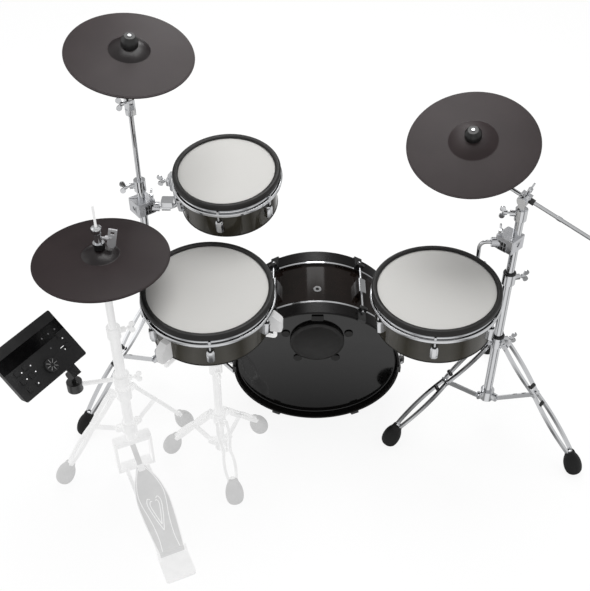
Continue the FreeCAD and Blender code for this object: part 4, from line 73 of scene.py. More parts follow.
low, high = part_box("hihat_pad")
PLAN_SHIFT = Vector(((low.x + high.x) / 2, (low.y + high.y) / 2, 0)) - HIHAT_IN_PLAN
lens = bpy.data.cameras.new("camera")
lens.sensor_width = SENSOR_MM
lens.lens = FOCAL_PIXELS / FRAME_PIXELS * SENSOR_MM
camera = bpy.data.objects.new("camera", lens)
bpy.context.scene.collection.objects.link(camera)
camera.location = CAMERA_IN_PLAN + PLAN_SHIFT
camera.rotation_euler = (math.pi / 2 - CAMERA_DOWN, 0, 0)
bpy.context.scene.camera = camera
bpy.context.scene.view_settings.view_transform = "Standard"
print("camera", [round(c, 3) for c in camera.location], "lens", round(lens.lens, 1))

# %% [markdown]
# ## A small kit for finishes
# Every finish is a Principled shader with its own pattern nodes. One function turns the colours that a
# person would pick on a screen into the linear values that light is computed in, and one function adds a
# node. A third one takes a finish's recipe: what it is moulded or polished to, how its shine drifts where
# hands have been, and how its colour drifts. All patterns lie on Object coordinates, in metres.

# %% Finish helpers
FINISH = {}


def linear(code):
    """The linear colour of an sRGB hex code."""
    parts = [int(code[i:i + 2], 16) / 255 for i in (1, 3, 5)]
    return (*[c / 12.92 if c <= 0.04045 else ((c + 0.055) / 1.055) ** 2.4 for c in parts], 1)


def add(tree, kind, links=(), stops=(), **settings):
    """A new node: its settings are attributes by name or inputs as in_0 or in_Name, stops the colours of a ramp."""
    node = tree.nodes.new("ShaderNode" + kind)
    for key, value in settings.items():
        if key.startswith("in_"):
            key = key[3:].replace("_", " ")
            node.inputs[int(key) if key.isdigit() else key].default_value = value
        else:
            setattr(node, key, value)
    for position, colour in stops[1:-1]:
        node.color_ramp.elements.new(position)
    for element, (position, colour) in zip(node.color_ramp.elements if stops else (), stops):
        element.position = position
        element.color = linear(colour)
    for source, target in links:
        tree.links.new(source, node.inputs[target])
    return node


def finish(name, colour, roughness, metallic=0.0, grain=None, rough=None, shades=None, **sockets):
    """A finish from its recipe, with sizes in metres: grain is (size, strength, depth) of a bump, rough is
    (patch, low, high) of the roughness, shades is (patch, first, second) of the colour."""
    material = bpy.data.materials.new(name)
    material.use_nodes = True
    material.diffuse_color = linear(colour)
    tree = material.node_tree
    shader = tree.nodes["Principled BSDF"]
    for key, value in {"Base_Color": linear(colour), "Roughness": roughness, "Metallic": metallic, **sockets}.items():
        shader.inputs[key.replace("_", " ")].default_value = value
    place = [(add(tree, "TexCoord").outputs["Object"], "Vector")]
    if grain:
        noise = add(tree, "TexNoise", place, in_Scale=1 / grain[0], in_Detail=3.0)
        bump = add(tree, "Bump", [(noise.outputs["Fac"], "Height")], in_Strength=grain[1], in_Distance=grain[2])
        tree.links.new(bump.outputs["Normal"], shader.inputs["Normal"])
    if rough:
        noise = add(tree, "TexNoise", place, in_Scale=1 / rough[0], in_Detail=2.0)
        spread = add(tree, "MapRange", [(noise.outputs["Fac"], "Value")], in_From_Min=0.3, in_From_Max=0.7,
                     in_To_Min=rough[1], in_To_Max=rough[2])
        tree.links.new(spread.outputs["Result"], shader.inputs["Roughness"])
    if shades:
        noise = add(tree, "TexNoise", place, in_Scale=1 / shades[0], in_Detail=3.0)
        ramp = add(tree, "ValToRGB", [(noise.outputs["Fac"], "Fac")], [(0.35, shades[1]), (0.65, shades[2])])
        tree.links.new(ramp.outputs["Color"], shader.inputs["Base Color"])
    FINISH[name] = material
    return tree, shader


print("finish helpers ready")

# %% [markdown]
# ## Metals
# Stand tubes, hoops and lugs are steel or zinc with a chrome plate, and the clamp blocks a satin one. The
# sensor bars and the claws of the kick drum are lacquered black, the hi-hat and snare stands white. A
# mirror could be left perfectly smooth, but real plate never is, so its shine drifts in patches as wide
# as a thumb.

# %% Metals
HAZE = 0.03
# The real orange peel of a lacquer is a quarter of this; it is drawn coarser so that it shows.
GRIT = 0.0006
# Strength of a painted glow: light of their own that lifts the shade of the pale parts towards white.
PAINTED_GLOW = 0.48

# Polished chrome plate: a mirror with a faint haze where hands have been.
finish("chrome_plate", "#d4d5d7", 0.08, 1.0, rough=(HAZE, 0.05, 0.13))
# Chrome over a tumbled casting: bright, with a blurred image.
finish("satin_chrome", "#d0d1d4", 0.3, 1.0, rough=(HAZE, 0.24, 0.34))
# Brushed nickel plate: pale grey and nearly without an image.
finish("satin_nickel", "#c6c6c8", 0.45, 0.6, (GRIT, 0.05, 0.0001), (HAZE, 0.4, 0.5))
# Black stoved lacquer: dark, with a broad soft shine.
finish("black_lacquer", "#191919", 0.32, 0.0, (GRIT, 0.08, 0.0001), (HAZE, 0.27, 0.38), Coat_Weight=0.3,
       Coat_Roughness=0.2)
# White stoved lacquer, lifted almost to paper white by a painted glow that brightens its shaded sides.
finish("white_lacquer", "#b8b8b8", 0.3, 0.0, (GRIT, 0.05, 0.0001), shades=(HAZE, "#b4b4b4", "#bcbcbc"),
       Emission_Strength=PAINTED_GLOW)
# Grey stoved lacquer with the same painted glow on its shade: the footboard between its white ribs.
finish("grey_lacquer", "#929292", 0.4, 0.0, (GRIT, 0.05, 0.0001), shades=(HAZE, "#8e8e8e", "#969696"),
       Emission_Strength=PAINTED_GLOW * 0.85)
print("metals", sorted(FINISH))

# %% [markdown]
# ## Rubbers
# The rim covers and feet are moulded rubber: dark, dull, with a very fine grain from the mould. The cymbal
# pads are a softer satin rubber in a warm charcoal. The feet and grips of the pale stands are light.

# %% Rubbers
# Eroded moulds leave a grain of about 0.2 mm; it is drawn four times coarser so that it shows.
RUBBER_GRAIN = 0.0008

# Moulded rim rubber: near black, with a soft shine on its crown.
finish("rim_rubber", "#181716", 0.55, 0.0, (RUBBER_GRAIN, 0.15, 0.0002), (HAZE, 0.42, 0.56), Specular_IOR_Level=0.4)
# Moulded foot rubber: black and dull, a little dusty.
finish("foot_rubber", "#101010", 0.6, 0.0, (RUBBER_GRAIN, 0.2, 0.0002), shades=(HAZE, "#0e0e0e", "#151515"),
       Specular_IOR_Level=0.3)
# Light grey moulded rubber, lifted by a painted glow like the stands above it.
finish("pale_rubber", "#929292", 0.6, 0.0, (RUBBER_GRAIN, 0.1, 0.0002), shades=(HAZE, "#8e8e8e", "#969696"),
       Emission_Strength=PAINTED_GLOW * 0.75)
# Satin silicone rubber of the pads: a warm charcoal with a wide, weak shine.
finish("cymbal_rubber", "#261c1d", 0.46, 0.0, (RUBBER_GRAIN, 0.12, 0.0002), shades=(0.08, "#241a1b", "#291f20"),
       Specular_IOR_Level=0.28)
# The same rubber from a polished mould, with a clear shine; its darker colour is painted shade of the bell's dome.
finish("bell_rubber", "#191314", 0.3, 0.0, (RUBBER_GRAIN, 0.06, 0.0002), shades=(0.05, "#161011", "#1c1617"),
       Specular_IOR_Level=0.4)
# White moulded rubber of the grips: matt, with a weaker painted glow, so soft shading stays.
finish("white_rubber", "#c4c4c4", 0.5, 0.0, (RUBBER_GRAIN, 0.1, 0.0002), shades=(HAZE, "#bfbfbf", "#c9c9c9"),
       Emission_Strength=PAINTED_GLOW * 0.4)
# Moulded black nylon: dark, slightly waxy.
finish("black_nylon", "#131313", 0.35, 0.0, (RUBBER_GRAIN, 0.1, 0.0002), (HAZE, 0.28, 0.42))
# Pressed wool felt, dyed black: no shine, a soft bloom at its edges.
finish("black_felt", "#121212", 0.95, 0.0, (RUBBER_GRAIN, 0.5, 0.0005), shades=(HAZE, "#101010", "#181818"),
       Sheen_Weight=0.3)
print("finishes", len(FINISH))

# %% [markdown]
# ## Gloss
# The shells wear a glossy wrap, nearly black with a warm cast, under a clear layer; the kick hoops are
# black lacquer and the kick heads a glossy black film. A smooth shader with a weak drift of colour is
# enough, because what the eye sees there is the room.

# %% Gloss
# Polished acrylic wrap: a dark olive brown that mirrors the room weakly.
finish("shell_wrap", "#38352d", 0.07, shades=(0.05, "#35322a", "#3b3830"), Specular_IOR_Level=0.4)
# The same wrap on the kick drum, nearly black.
finish("kick_wrap", "#19120e", 0.1, shades=(0.05, "#140f0c", "#1b1411"), Specular_IOR_Level=0.15)
# Sprayed black lacquer on wood: deep black with a soft shine.
finish("hoop_lacquer", "#0c0a0a", 0.3, rough=(HAZE, 0.26, 0.36), Specular_IOR_Level=0.18)
# Drawn polyester film: black, with a clear image of the room.
finish("head_film", "#0a0909", 0.08, rough=(0.06, 0.06, 0.1))
print("finishes", len(FINISH))

# %% [markdown]
# ## Mesh heads
# The playing heads are a woven polyester mesh, light grey. Its real threads lie about half a millimetre
# apart, finer than the picture can hold, so the weave is drawn five times coarser. Two crossing waves
# give the threads, as colour and as bump.

# %% Mesh
THREAD = 0.0025

# Woven polyester: light grey and matt, with a bloom like cloth.
tree, shader = finish("mesh_weave", "#d0cfcc", 0.75, Sheen_Weight=0.15)
place = add(tree, "TexCoord")
turns = [add(tree, "Mapping", [(place.outputs["Object"], "Vector")], in_Rotation=(0, 0, math.radians(turn)))
         for turn in (20, 110)]
waves = [add(tree, "TexWave", [(turn.outputs["Vector"], "Vector")], bands_direction="X",
             in_Scale=2 * math.pi / (20 * THREAD)) for turn in turns]
weave = add(tree, "Math", [(waves[0].outputs["Fac"], 0), (waves[1].outputs["Fac"], 1)], operation="MULTIPLY")
ramp = add(tree, "ValToRGB", [(weave.outputs["Value"], "Fac")], [(0.0, "#c4c3c0"), (1.0, "#dad9d6")])
tree.links.new(ramp.outputs["Color"], shader.inputs["Base Color"])
bump = add(tree, "Bump", [(weave.outputs["Value"], "Height")], in_Strength=0.15, in_Distance=0.0003)
tree.links.new(bump.outputs["Normal"], shader.inputs["Normal"])
print("mesh weave with threads", THREAD * 1000, "mm apart")

# %% [markdown]
# ## Plastics of the module
# The module is moulded ABS with a fine spark-eroded grain. Its screen is a dark acrylic strip, and its
# small lights are clear plastic over a lamp, which a shader gives with a little light of its own.

# %% Plastics
# Moulded ABS: black and matt.
finish("module_abs", "#1b1b1c", 0.45, 0.0, (RUBBER_GRAIN, 0.2, 0.0002), (HAZE, 0.4, 0.52))
# Cast dark acrylic: blacker than the case, with a soft image.
finish("screen_acrylic", "#080809", 0.2, rough=(HAZE, 0.17, 0.24), Specular_IOR_Level=0.25)
# Screen-printed ink: a flat light grey.
finish("key_print", "#a4a4a4", 0.5, shades=(0.004, "#9a9a9a", "#aeaeae"))
# Moulded grey polycarbonate, unlit.
finish("lens_grey", "#6f6f70", 0.25, rough=(0.004, 0.2, 0.3))
# Clear polycarbonate over a white lamp.
finish("key_light", "#f2f2f2", 0.3, shades=(0.004, "#e6e6e6", "#ffffff"), Emission_Strength=0.6)
print("finishes", len(FINISH))

# %% [markdown]
# ## Reading a piece of the construction model
# The construction model's meshes are loose triangles. To work with one, a copy is merged and its flat
# triangles are joined to whole faces. Solids inside one piece are then found as islands of the mesh, so
# that a rubber tip can differ from the steel above it.

# %% Merging helpers
FLAT = math.radians(1)
MERGE = 0.00002


def merged(node):
    """A merged copy of a node's mesh, with its flat stretches joined."""
    work = bmesh.new()
    work.from_mesh(NODES[node].data)
    bmesh.ops.remove_doubles(work, verts=work.verts, dist=MERGE)
    bmesh.ops.dissolve_limit(work, angle_limit=FLAT, verts=work.verts, edges=work.edges)
    return work


def islands(work):
    """The faces of each connected solid."""
    left = set(work.faces)
    found = []
    while left:
        group, queue = set(), [left.pop()]
        while queue:
            face = queue.pop()
            group.add(face)
            for edge in face.edges:
                for other in edge.link_faces:
                    if other in left:
                        left.discard(other)
                        queue.append(other)
        found.append(list(group))
    return found


def middle_of(faces):
    """Middle and size of the box around faces."""
    points = [vert.co for face in faces for vert in face.verts]
    low = Vector([min(point[axis] for point in points) for axis in range(3)])
    high = Vector([max(point[axis] for point in points) for axis in range(3)])
    return (low + high) / 2, high - low


print("merging helpers ready")

# %% [markdown]
# ## Dressing a piece of the construction model
# A kept shape is shown as its merged copy. Its sharp edges get a small bevel that catches the light, as
# every real edge does, and its flat faces keep their own normals, so that a block still looks flat. The
# copy then stands for the original.

# %% Dressing helpers
EDGE = 0.0006
SHARP = math.radians(35)
BEVEL_FROM = math.radians(40)


def shown(name, mesh, materials, body):
    """A finished object that rides on a body."""
    obj = bpy.data.objects.new(name, mesh)
    bpy.context.scene.collection.objects.link(obj)
    for material in materials:
        mesh.materials.append(FINISH[material])
    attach(obj, body)
    return obj


def applied(obj):
    """Turns an object's modifiers into its own mesh."""
    graph = bpy.context.evaluated_depsgraph_get()
    mesh = bpy.data.meshes.new_from_object(obj.evaluated_get(graph))
    obj.modifiers.clear()
    obj.data = mesh
    return obj


def smooth(mesh):
    """Smooth shading that keeps sharp edges."""
    mesh.shade_smooth()
    mesh.set_sharp_from_angle(angle=SHARP)


def dressed(node, materials, choose=None, keep=None, edge=EDGE, drop=None, reshape=None):
    """A bevelled copy of a node that stands for it: choose gives a face its material number, keep picks the
    islands that stay, drop the single faces that go, and reshape gives an island's points a new place."""
    work = merged(node)
    if drop:
        bmesh.ops.delete(work, geom=[face for face in work.faces if drop(face.calc_center_median())], context="FACES")
    for faces in islands(work):
        middle, size = middle_of(faces)
        if keep and not keep(middle, size):
            bmesh.ops.delete(work, geom=faces, context="FACES")
            continue
        for face in faces:
            face.material_index = choose(middle, size, face.calc_center_median()) if choose else 0
        if reshape:
            for vert in {vert for face in faces for vert in face.verts}:
                vert.co = reshape(middle, size, vert.co)
    mesh = bpy.data.meshes.new(node + "_finish")
    work.to_mesh(mesh)
    work.free()
    smooth(mesh)
    obj = shown(node + "_finish", mesh, materials, BODY_OF[node])
    bevel = obj.modifiers.new("edge", "BEVEL")
    bevel.harden_normals = True
    bevel.width = edge
    bevel.segments = 2
    bevel.limit_method = "ANGLE"
    bevel.angle_limit = BEVEL_FROM
    applied(obj)
    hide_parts(node)
    return obj


print("dressing helpers ready")

# %% [markdown]
# ## Turned and lofted shapes
# Most of a drum is round, so most new pieces are turned: an outline of radius and height, with its
# corners softened, goes once around the axis. Pieces that are not round are lofted through rings of
# points.

# %% Shape helpers
TURN_STEPS = 144


def softened(points, radius, closed=True, steps=4):
    """An outline with its corners rounded."""
    result = []
    for index, corner in enumerate(map(Vector, points)):
        if not closed and index in (0, len(points) - 1):
            result.append(corner)
            continue
        before = Vector(points[index - 1]) - corner
        after = Vector(points[(index + 1) % len(points)]) - corner
        reach = min(radius, before.length / 2, after.length / 2)
        first, last = corner + before.normalized() * reach, corner + after.normalized() * reach
        for step in range(steps + 1):
            t = step / steps
            result.append(first * (1 - t) ** 2 + corner * (2 * t * (1 - t)) + last * t ** 2)
    return result


def lathe(outline, closed=True, steps=TURN_STEPS):
    """A mesh turned about Z from an outline of (radius, height); a point on the axis becomes a pole."""
    work = bmesh.new()
    rings = []
    for radius, height in outline:
        count = steps if radius > MERGE else 1
        rings.append([work.verts.new((radius * math.cos(math.tau * i / steps), radius * math.sin(math.tau * i / steps),
                                      height)) for i in range(count)])
    pairs = list(zip(rings, rings[1:])) + ([(rings[-1], rings[0])] if closed else [])
    for low, high in pairs:
        for i in range(steps):
            j = (i + 1) % steps
            corners = [low[i % len(low)], low[j % len(low)], high[j % len(high)], high[i % len(high)]]
            corners = list(dict.fromkeys(corners))
            if len(corners) > 2:
                work.faces.new(corners)
    return as_mesh(work)


def loft(rings):
    """A closed mesh through rings of points with equal counts."""
    work = bmesh.new()
    rows = [[work.verts.new(point) for point in ring] for ring in rings]
    for low, high in zip(rows, rows[1:]):
        for i in range(len(low)):
            j = (i + 1) % len(low)
            work.faces.new((low[i], low[j], high[j], high[i]))
    work.faces.new(rows[0])
    work.faces.new(rows[-1])
    return as_mesh(work)


def as_mesh(work):
    """The finished mesh, with its faces turned outward."""
    bmesh.ops.recalc_face_normals(work, faces=work.faces[:])
    mesh = bpy.data.meshes.new("shape")
    work.to_mesh(mesh)
    work.free()
    return mesh


print("turned and lofted shapes ready")

# %% [markdown]
# ## Finishing and placing a shape
# New shapes are joined, get rounded edges where they need them and are moved to their place. The place goes
# into the mesh itself, so that every object stays at the origin, unturned, as the construction model's do.

# %% Placing helpers
def bevelled(mesh, width):
    """The mesh with its sharp edges rounded by the given width."""
    work = bmesh.new()
    work.from_mesh(mesh)
    edges = [edge for edge in work.edges if len(edge.link_faces) == 2 and edge.calc_face_angle() > SHARP]
    bmesh.ops.bevel(work, geom=edges, offset=width, segments=2, profile=0.6, affect="EDGES")
    return as_mesh(work)


def joined(*meshes):
    """One mesh out of several."""
    work = bmesh.new()
    for mesh in meshes:
        work.from_mesh(mesh)
    made = bpy.data.meshes.new("shape")
    work.to_mesh(made)
    work.free()
    return made


def plate(x_low, x_high, y_low, y_high, low, high):
    """A thin rounded plate between two heights."""
    corners = [(x_low, y_low), (x_high, y_low), (x_high, y_high), (x_low, y_high)]
    ring_of = softened(corners, min(x_high - x_low, y_high - y_low) / 4)
    return loft([[(x, y, height) for x, y in ring_of] for height in (low, high)])


def moved(mesh, *spot):
    """The mesh at another spot."""
    mesh.transform(Matrix.Translation(Vector(spot)))
    return mesh


def made(name, mesh, matrix, material, node):
    mesh.transform(matrix)
    if matrix.determinant() < 0:
        mesh.flip_normals()
    mesh.name = name
    obj = shown(name, mesh, [material], BODY_OF[node])
    smooth(mesh)
    obj.modifiers.new("flat_faces", "WEIGHTED_NORMAL").keep_sharp = True
    applied(obj)
    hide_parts(node)
    return obj


print("placing helpers ready")

# %% [markdown]
# ## Geometry Nodes from a script
# Things that repeat or follow a line are made by Geometry Nodes. Two helpers serve every tree: one makes a
# tree with named inputs, the other runs a tree on a mesh. An input is set by its socket's identifier before
# the object is first evaluated, and the result is taken out as a plain mesh.

# %% Tree helpers
def tree_with(name, inputs):
    """An empty Geometry Nodes tree with inputs of the given names and kinds beside its geometry."""
    tree = bpy.data.node_groups.new(name, "GeometryNodeTree")
    tree.interface.new_socket("Geometry", in_out="INPUT", socket_type="NodeSocketGeometry")
    for socket, kind in inputs:
        tree.interface.new_socket(socket, in_out="INPUT", socket_type="NodeSocket" + kind)
    tree.interface.new_socket("Geometry", in_out="OUTPUT", socket_type="NodeSocketGeometry")
    return tree


def grown(tree, mesh, values):
    """The plain mesh that a tree makes of a mesh, with its named inputs set."""
    holder = bpy.data.objects.new("holder", mesh)
    bpy.context.scene.collection.objects.link(holder)
    modifier = holder.modifiers.new("tree", "NODES")
    modifier.node_group = tree
    for socket in tree.interface.items_tree:
        if socket.in_out == "INPUT" and socket.name in values:
            modifier[socket.identifier] = values[socket.name]
    result = bpy.data.meshes.new_from_object(holder.evaluated_get(bpy.context.evaluated_depsgraph_get()))
    bpy.data.objects.remove(holder)
    result.materials.clear()
    return result


print("tree helpers ready")

# %% [markdown]
# ## Pieces in a ring
# Lugs, rods and spokes stand in rings around an axis. They could be copied by hand, but a small tree keeps
# the count and the turn as plain inputs: it makes a number of points on the axis, puts the piece on each
# with a growing turn, and ends with real mesh and one finish.

# %% Ring tree
RING = tree_with("around_axis", [("Piece", "Object"), ("Count", "Int"), ("First", "Float"), ("Step", "Float"),
                                 ("Finish", "Material")])
source = RING.nodes.new("NodeGroupInput")
points = RING.nodes.new("GeometryNodePoints")
index = RING.nodes.new("GeometryNodeInputIndex")
angle = RING.nodes.new("ShaderNodeMath")
angle.operation = "MULTIPLY_ADD"
euler = RING.nodes.new("ShaderNodeCombineXYZ")
turn = RING.nodes.new("FunctionNodeEulerToRotation")
piece = RING.nodes.new("GeometryNodeObjectInfo")
copies = RING.nodes.new("GeometryNodeInstanceOnPoints")
real = RING.nodes.new("GeometryNodeRealizeInstances")
coat = RING.nodes.new("GeometryNodeSetMaterial")
result = RING.nodes.new("NodeGroupOutput")
for start, end in ((source.outputs["Count"], points.inputs["Count"]), (index.outputs[0], angle.inputs[0]),
                   (source.outputs["Step"], angle.inputs[1]), (source.outputs["First"], angle.inputs[2]),
                   (angle.outputs[0], euler.inputs["Z"]), (euler.outputs[0], turn.inputs[0]),
                   (source.outputs["Piece"], piece.inputs["Object"]), (points.outputs[0], copies.inputs["Points"]),
                   (piece.outputs["Geometry"], copies.inputs["Instance"]), (turn.outputs[0], copies.inputs["Rotation"]),
                   (copies.outputs[0], real.inputs[0]), (real.outputs[0], coat.inputs["Geometry"]),
                   (source.outputs["Finish"], coat.inputs["Material"]), (coat.outputs[0], result.inputs[0])):
    RING.links.new(start, end)


def ring(name, mesh, matrix, material, node, count, first=0.0):
    """A ring of copies of a mesh around the Z axis of a frame."""
    pattern = bpy.data.objects.new(name + "_one", mesh)
    bpy.context.scene.collection.objects.link(pattern)
    values = {"Piece": pattern, "Count": count, "First": first, "Step": math.tau / count, "Finish": FINISH[material]}
    mesh = grown(RING, bpy.data.meshes.new("shape"), values)
    bpy.data.objects.remove(pattern)
    return made(name, mesh, matrix, material, node)


print("ring tree with", len(RING.nodes), "nodes")

# %% [markdown]
# ## Frames from the construction model
# A round piece tells where it stands: its points spread least along its axis, and their mean lies on the
# axis. This gives each pad and the kick drum a frame of their own, with Z along the axis.

# %% Frames
def cloud(node):
    """The different points of a node."""
    points = np.array([vert.co for vert in NODES[node].data.vertices])
    return np.unique(points.round(5), axis=0)


def frame_of(node, towards):
    """The frame of a round node, with Z along its axis on the given side and X to the right."""
    points = cloud(node)
    middle = Vector(points.mean(axis=0))
    axis = Vector(np.linalg.svd(points - points.mean(axis=0), full_matrices=False)[2][2])
    if axis.dot(Vector(towards)) < 0:
        axis.negate()
    return facing(middle, axis)


def facing(spot, axis):
    """A frame at a spot, with Z along an axis and X as far to the right as can be."""
    right = (Vector((1, 0, 0)) - axis * axis.x).normalized()
    turned = Matrix((right, axis.cross(right), axis)).transposed().to_4x4()
    return Matrix.Translation(spot) @ turned


def local(node, matrix):
    """A node's points in a frame, as radius from the axis and height."""
    points = np.c_[cloud(node), np.ones(len(cloud(node)))] @ np.array(matrix.inverted()).T
    return np.hypot(points[:, 0], points[:, 1]), points[:, 2]


PADS = {}
for name in ("snare", "left_tom", "right_tom"):
    matrix = frame_of(name + "_head", (0, 0, 1))
    radii, heights = local(name + "_head", matrix)
    PADS[name] = (matrix @ Matrix.Translation((0, 0, heights.max())), radii.max())
    print(name, "flesh radius", round(radii.max(), 4))

# %% [markdown]
# ## Heads
# Each mesh head is a cloth disc pulled tight over the shell's edge and gripped by a flesh hoop under the
# rubber cover. It is turned as a thin sheet with a soft shoulder.

# %% Heads
FLESH_OVER_HEAD = 0.0068
FILM = 0.0006
SHOULDER = 0.0025
FLESH_DROP = 0.0115
FILM_IN = 0.0037

for name, (matrix, flesh) in PADS.items():
    film = flesh - FILM_IN
    outline = [(0, 0), (film - SHOULDER, 0), (film, -SHOULDER), (film, -FLESH_DROP), (film - FILM, -FLESH_DROP),
               (film - FILM, -SHOULDER), (film - SHOULDER - FILM, -FILM), (0, -FILM)]
    cloth = made(name + "_mesh", lathe(softened(outline, SHOULDER / 3, closed=False), closed=False), matrix,
                 "mesh_weave", name + "_head")
print("heads", len(PADS))

# %% [markdown]
# ## Rim covers
# A rubber ring sits over the hoop so that rim shots are quiet. It slopes down to the head, has a round
# crown with a shallow groove and a skirt outside. The same rubber edges the bottom of the shell, which
# stays as the construction model has it.

# %% Rim covers
COVER_WIDTH = 0.015
COVER_SHEET = 0.0053
COVER_CROWN = 0.007
COVER_SKIRT = 0.009
COVER_REST = 0.0023
COVER_GROOVE = 0.0007
EDGING_LEVEL = -0.05

for name, (matrix, flesh) in PADS.items():
    head = flesh - FLESH_OVER_HEAD
    out = head + COVER_WIDTH
    outline = [(head, COVER_REST), (out - COVER_SHEET, COVER_REST), (out - COVER_SHEET, -COVER_SKIRT),
               (out, -COVER_SKIRT), (out, COVER_CROWN - 0.004), (out - 0.004, COVER_CROWN),
               (head + 0.0075, COVER_CROWN), (head + 0.0068, COVER_CROWN - COVER_GROOVE),
               (head + 0.0061, COVER_CROWN - 0.0002), (head + 0.0035, COVER_CROWN - 0.0008),
               (head, COVER_REST + 0.0015)]
    made(name + "_cover", lathe(softened(outline, 0.0015)), matrix, "rim_rubber", name + "_rim_cover")
    edging = lambda middle, size: (matrix.inverted() @ middle).z < EDGING_LEVEL
    dressed(name + "_rim_cover", ["rim_rubber"], keep=edging)
print("rim covers", len(PADS))

# %% [markdown]
# ## Counter hoops, tension rods and lugs
# The chrome hoop is a turned section with a broad rolled flange. Six rods with square heads go through the
# flange into six lugs: faceted zinc castings with a nylon collar on top. Hoop and rods are turned, a lug is
# lofted through its cross-sections, and the ring tree sets the six around the shell.

# %% Hoops and lugs
HOOP_OUT = 0.0026
HOOP_SHEET = 0.0023
HOOP_LOW = -0.030
FLANGE_TOP = -0.0195
FLANGE_WIDTH = 0.009
ROD_OVER_FLESH = 0.0069
ROD_RADIUS = 0.0026
LUG_LOW = -0.090
LUG_TOP = -0.048
LUG_DEPTH = 0.017
LUG_HALF = 0.010
LUG_FIRST = {"snare": math.radians(-85), "left_tom": math.radians(-97), "right_tom": math.radians(-97)}
LUG_COUNT = 6
LUG_ROWS = [(LUG_LOW, 0.55, 0.5), (LUG_LOW + 0.006, 0.9, 1.0), (LUG_TOP - 0.008, 1.0, 1.0),
            (LUG_TOP - 0.002, 0.92, 0.85), (LUG_TOP, 0.85, 0.7)]
HEAD_HALF = 0.0026
COLLAR_RADIUS = 0.0050
COLLAR_TOP = LUG_TOP + 0.003
BRACKET_OUT = 0.0075


def facet(start, depth, half, height):
    """A lug's cross-section: flat front, two slanted cheeks."""
    return [(start, -half, height), (start + depth * 0.62, -half, height), (start + depth, -half * 0.5, height),
            (start + depth, half * 0.5, height), (start + depth * 0.62, half, height), (start, half, height)]


def tension_rod(out):
    """A rod with a washer and a square head on the hoop's flange, down into the lug."""
    stem = lathe([(0, LUG_TOP - 0.004), (ROD_RADIUS, LUG_TOP - 0.004), (ROD_RADIUS, FLANGE_TOP), (0.0040, FLANGE_TOP),
                  (0.0040, FLANGE_TOP + 0.0016), (0.0032, FLANGE_TOP + 0.0026), (0, FLANGE_TOP + 0.0026)], False, 24)
    corners = [(HEAD_HALF * x, HEAD_HALF * y) for x, y in ((-1, -1), (1, -1), (1, 1), (-1, 1))]
    square = [[(x, y, FLANGE_TOP + rise) for x, y in corners] for rise in (0.0022, 0.0085)]
    return moved(joined(stem, bevelled(loft(square), 0.0004)), out, 0, 0)


for name, (matrix, flesh) in PADS.items():
    wall = flesh + HOOP_OUT
    shell = flesh - FLESH_OVER_HEAD + 0.002
    hardware = name + "_hardware"
    rim = wall + FLANGE_WIDTH
    outline = [(wall - HOOP_SHEET, HOOP_LOW), (rim - 0.002, HOOP_LOW), (rim, HOOP_LOW + 0.002),
               (rim, FLANGE_TOP - 0.002), (rim - 0.002, FLANGE_TOP), (wall + 0.001, FLANGE_TOP),
               (wall, FLANGE_TOP + 0.003), (wall, 0.002), (wall - HOOP_SHEET, 0.002)]
    made(name + "_hoop", lathe(softened(outline, 0.0012)), matrix, "chrome_plate", hardware)
    rods = flesh + ROD_OVER_FLESH
    around = (hardware, LUG_COUNT, LUG_FIRST[name])
    ring(name + "_rods", tension_rod(rods), matrix, "chrome_plate", *around)
    lug = loft([facet(shell - 0.0004, LUG_DEPTH * deep, LUG_HALF * wide, height) for height, deep, wide in LUG_ROWS])
    ring(name + "_lugs", bevelled(lug, 0.0007), matrix, "chrome_plate", *around)
    outline = [(ROD_RADIUS, LUG_TOP), (COLLAR_RADIUS, LUG_TOP), (COLLAR_RADIUS, COLLAR_TOP), (ROD_RADIUS, COLLAR_TOP)]
    collar = moved(lathe(softened(outline, 0.0006), steps=32), rods, 0, 0)
    ring(name + "_collars", collar, matrix, "black_nylon", *around)
    if name != "snare":
        bracket = lambda middle, size: (matrix.inverted() @ middle).xy.length > flesh + BRACKET_OUT
        dressed(hardware, ["chrome_plate"], keep=bracket)
    dressed(name + "_shell", ["shell_wrap"])
    dressed(name + "_trigger", ["black_lacquer"])
print("hoops, rods and lugs for", len(PADS), "pads")

# %% [markdown]
# ## Cymbal pads
# A cymbal pad is a rubber-covered plate with the profile of a real cymbal: a domed bell, a soft crease,
# a shallow bow and a rounded edge with a fine step. The lathe does this in one outline. The bells of the
# crash and the hi-hat are polished, and darker with painted shade. Underneath sits the sensor pod of the construction
# model.

# %% Cymbal pads
BELL_TOP = 0.030
BELL_FOOT = 0.013
SHEET = 0.005
EDGE_HALF = 0.0025
HOLE = 0.0085
BELL_STEPS = 14
ROCK_HEIGHT = 0.005
POD_SIZE = 0.15


def spot_of(joint):
    """The place of a hinge."""
    return Vector(JOINTS[joint]["pos_m"])


def cymbal(radius, bell, crease):
    """Outline of a cymbal pad: the outside from the hole to the edge, then back below."""
    ball = (bell ** 2 + (BELL_TOP - BELL_FOOT) ** 2) / (2 * (BELL_TOP - BELL_FOOT))
    top = []
    for step in range(BELL_STEPS + 1):
        out = HOLE + (bell - HOLE) * step / BELL_STEPS
        top.append((out, BELL_TOP - ball + math.sqrt(ball ** 2 - out ** 2)))
    run = radius - 0.004 - bell
    for step in range(1, BELL_STEPS + 1):
        share = step / BELL_STEPS
        drop = (BELL_FOOT - EDGE_HALF) * (0.72 * share + 0.28 * share ** 2)
        top.append((bell + run * share, BELL_FOOT - drop))
    rim = [(radius - 0.0034, EDGE_HALF - 0.0006), (radius - 0.001, EDGE_HALF - 0.0008), (radius, 0),
           (radius - 0.001, -EDGE_HALF + 0.0006), (radius - 0.003, -EDGE_HALF)]
    below = [(out, height - SHEET) for out, height in reversed(top)]
    outline = [Vector(point) for point in top + rim + below]
    if crease:
        corner = BELL_STEPS
        outline[corner - 1:corner + 2] = softened(outline[corner - 1:corner + 2], crease, closed=False)
    return outline


